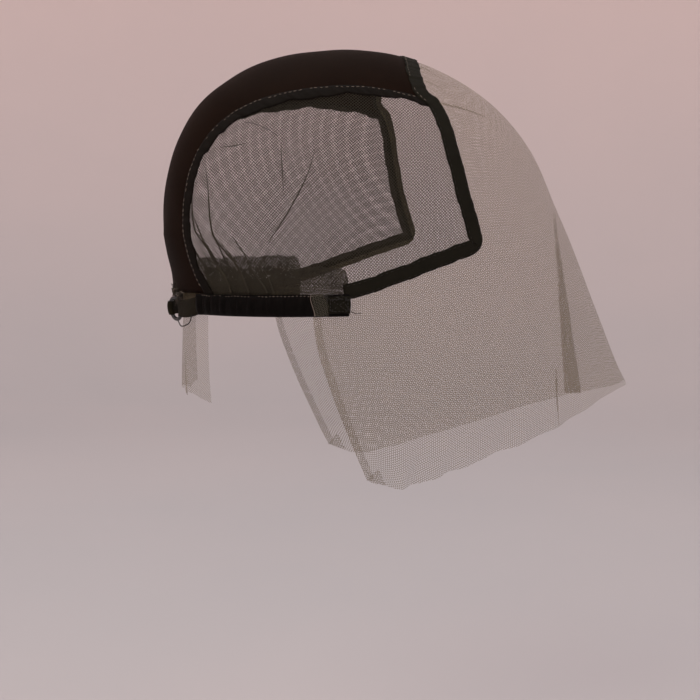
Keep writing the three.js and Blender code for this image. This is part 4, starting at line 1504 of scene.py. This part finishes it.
# Cloth as it was cut: width and length in metres, area where the cut isn't a rectangle, how it is held, what
# holds it, and the trimmings on it
napeAndHairline = ["hairline_ribbon", "nape_casing_right", "nape_casing_left"]
laceTrimmings = [
    "hairline_tape", "lace_pleat", "lace_creases",
    "lace_fold_right", "lace_fold_left", "lace_lap_right", "lace_lap_left",
]
cuts = [
    ("lace_front", (0.36, 0.24), 0.062, "hung", napeAndHairline, laceTrimmings),
    ("lace_nape", (0.076, 0.057), None, "hung", ["crown_strip"], []),
    ("crown_stretch", (0.119, 0.24), 0.0195, "stretched", napeAndHairline, []),
]
for side in ("right", "left"):
    band, panel = f"nape_casing_{side}", f"side_net_{side}"
    around = ["hairline_ribbon", f"crown_seam_{side}", band]
    panelTrim, bandTrim = [f"net_tucks_{side}", f"seam_tape_{side}"], [f"tab_{side}", f"elastic_{side}"]
    cuts += [
        (f"net_side_{side}", (0.132, 0.1), 0.0092, "gathered", around, panelTrim),
        (f"net_nape_{side}", (0.071, 0.0156), None, "laid", [band, panel], []),
        (f"casing_{side}", (0.082, 0.0105), None, "gathered", [panel], bandTrim),
    ]

# Camera at the photo's angle, and a soft studio
studio = {
    "target": (-1, 0, -146),
    "distance": 800,
    "azimuth": -10,
    "elevation": 5.5,
    "focalPixels": 1600,
    "imagePixels": 700,
    "sensor": 36,
    "floorDrop": 420,
    "floorReach": 1700,
    "wallReach": 3000,
    "wallHeight": 2300,
    "bendSteps": 12,
    "roundSteps": 96,
    "aim": (0.02, 0, -0.1),
    "lights": [  # place and size in metres, power and colour
        ("key", (-1.1, -1.5, 1.3), 1.1, 18, "#fff4e8"),
        ("fill", (1.5, -1.3, 0.8), 1.2, 5.5, "#eef2ff"),
        ("top", (-0.4, 0.5, 1.9), 1.4, 7, "#ffffff"),
    ],
    "sky": "#e9e2e2",
    "skyStrength": 1.0,
}


def buildCamera():
    az, el = math.radians(studio["azimuth"]), math.radians(studio["elevation"])
    back = Vector((math.sin(az) * math.cos(el), -math.cos(az) * math.cos(el), math.sin(el)))
    data = bpy.data.cameras.new("camera")
    data.sensor_fit = "HORIZONTAL"
    data.sensor_width = studio["sensor"]
    data.lens = studio["sensor"] * studio["focalPixels"] / studio["imagePixels"]
    camera = bpy.data.objects.new("camera", data)
    camera.location = (Vector(studio["target"]) + back * studio["distance"]) * mm
    camera.rotation_euler = back.to_track_quat("Z", "Y").to_euler()
    bpy.context.collection.objects.link(camera)
    bpy.context.scene.camera = camera


def buildBackdrop():
    # floor that curves up into a wall all round
    bm = bmesh.new()
    bend = studio["wallReach"] - studio["floorReach"]
    angles = np.linspace(0, math.pi / 2, studio["bendSteps"] + 1)
    arc = [(studio["floorReach"] + bend * math.sin(a), bend * (1 - math.cos(a))) for a in angles]
    profile = [(0, 0), *arc, (studio["wallReach"], studio["wallHeight"])]
    verts = [bm.verts.new((x * mm, 0, (z - studio["floorDrop"]) * mm)) for x, z in profile]
    for pair in zip(verts, verts[1:]):
        bm.edges.new(pair)
    spun(bm, studio["roundSteps"])
    bmesh.ops.remove_doubles(bm, verts=bm.verts, dist=1e-5)
    bmesh.ops.recalc_face_normals(bm, faces=bm.faces)
    bmesh.ops.reverse_faces(bm, faces=bm.faces)
    pieceFrom("backdrop", bm, paper)


def buildLights():
    aim = Vector(studio["aim"])
    for name, place, size, power, colour in studio["lights"]:
        data = bpy.data.lights.new(name, "AREA")
        data.shape = "DISK"
        data.size = size
        data.energy = power
        data.color = linear(colour)[:3]
        light = bpy.data.objects.new(name, data)
        light.location = place
        light.rotation_euler = (Vector(place) - aim).to_track_quat("Z", "Y").to_euler()
        bpy.context.collection.objects.link(light)
    world = bpy.data.worlds.new("studio")
    world.use_nodes = True
    sky = world.node_tree.nodes["Background"]
    sky.inputs["Color"].default_value = linear(studio["sky"])
    sky.inputs["Strength"].default_value = studio["skyStrength"]
    bpy.context.scene.world = world
    bpy.context.scene.view_settings.view_transform = "Standard"


buildCamera()
buildBackdrop()
buildLights()
print("studio set")
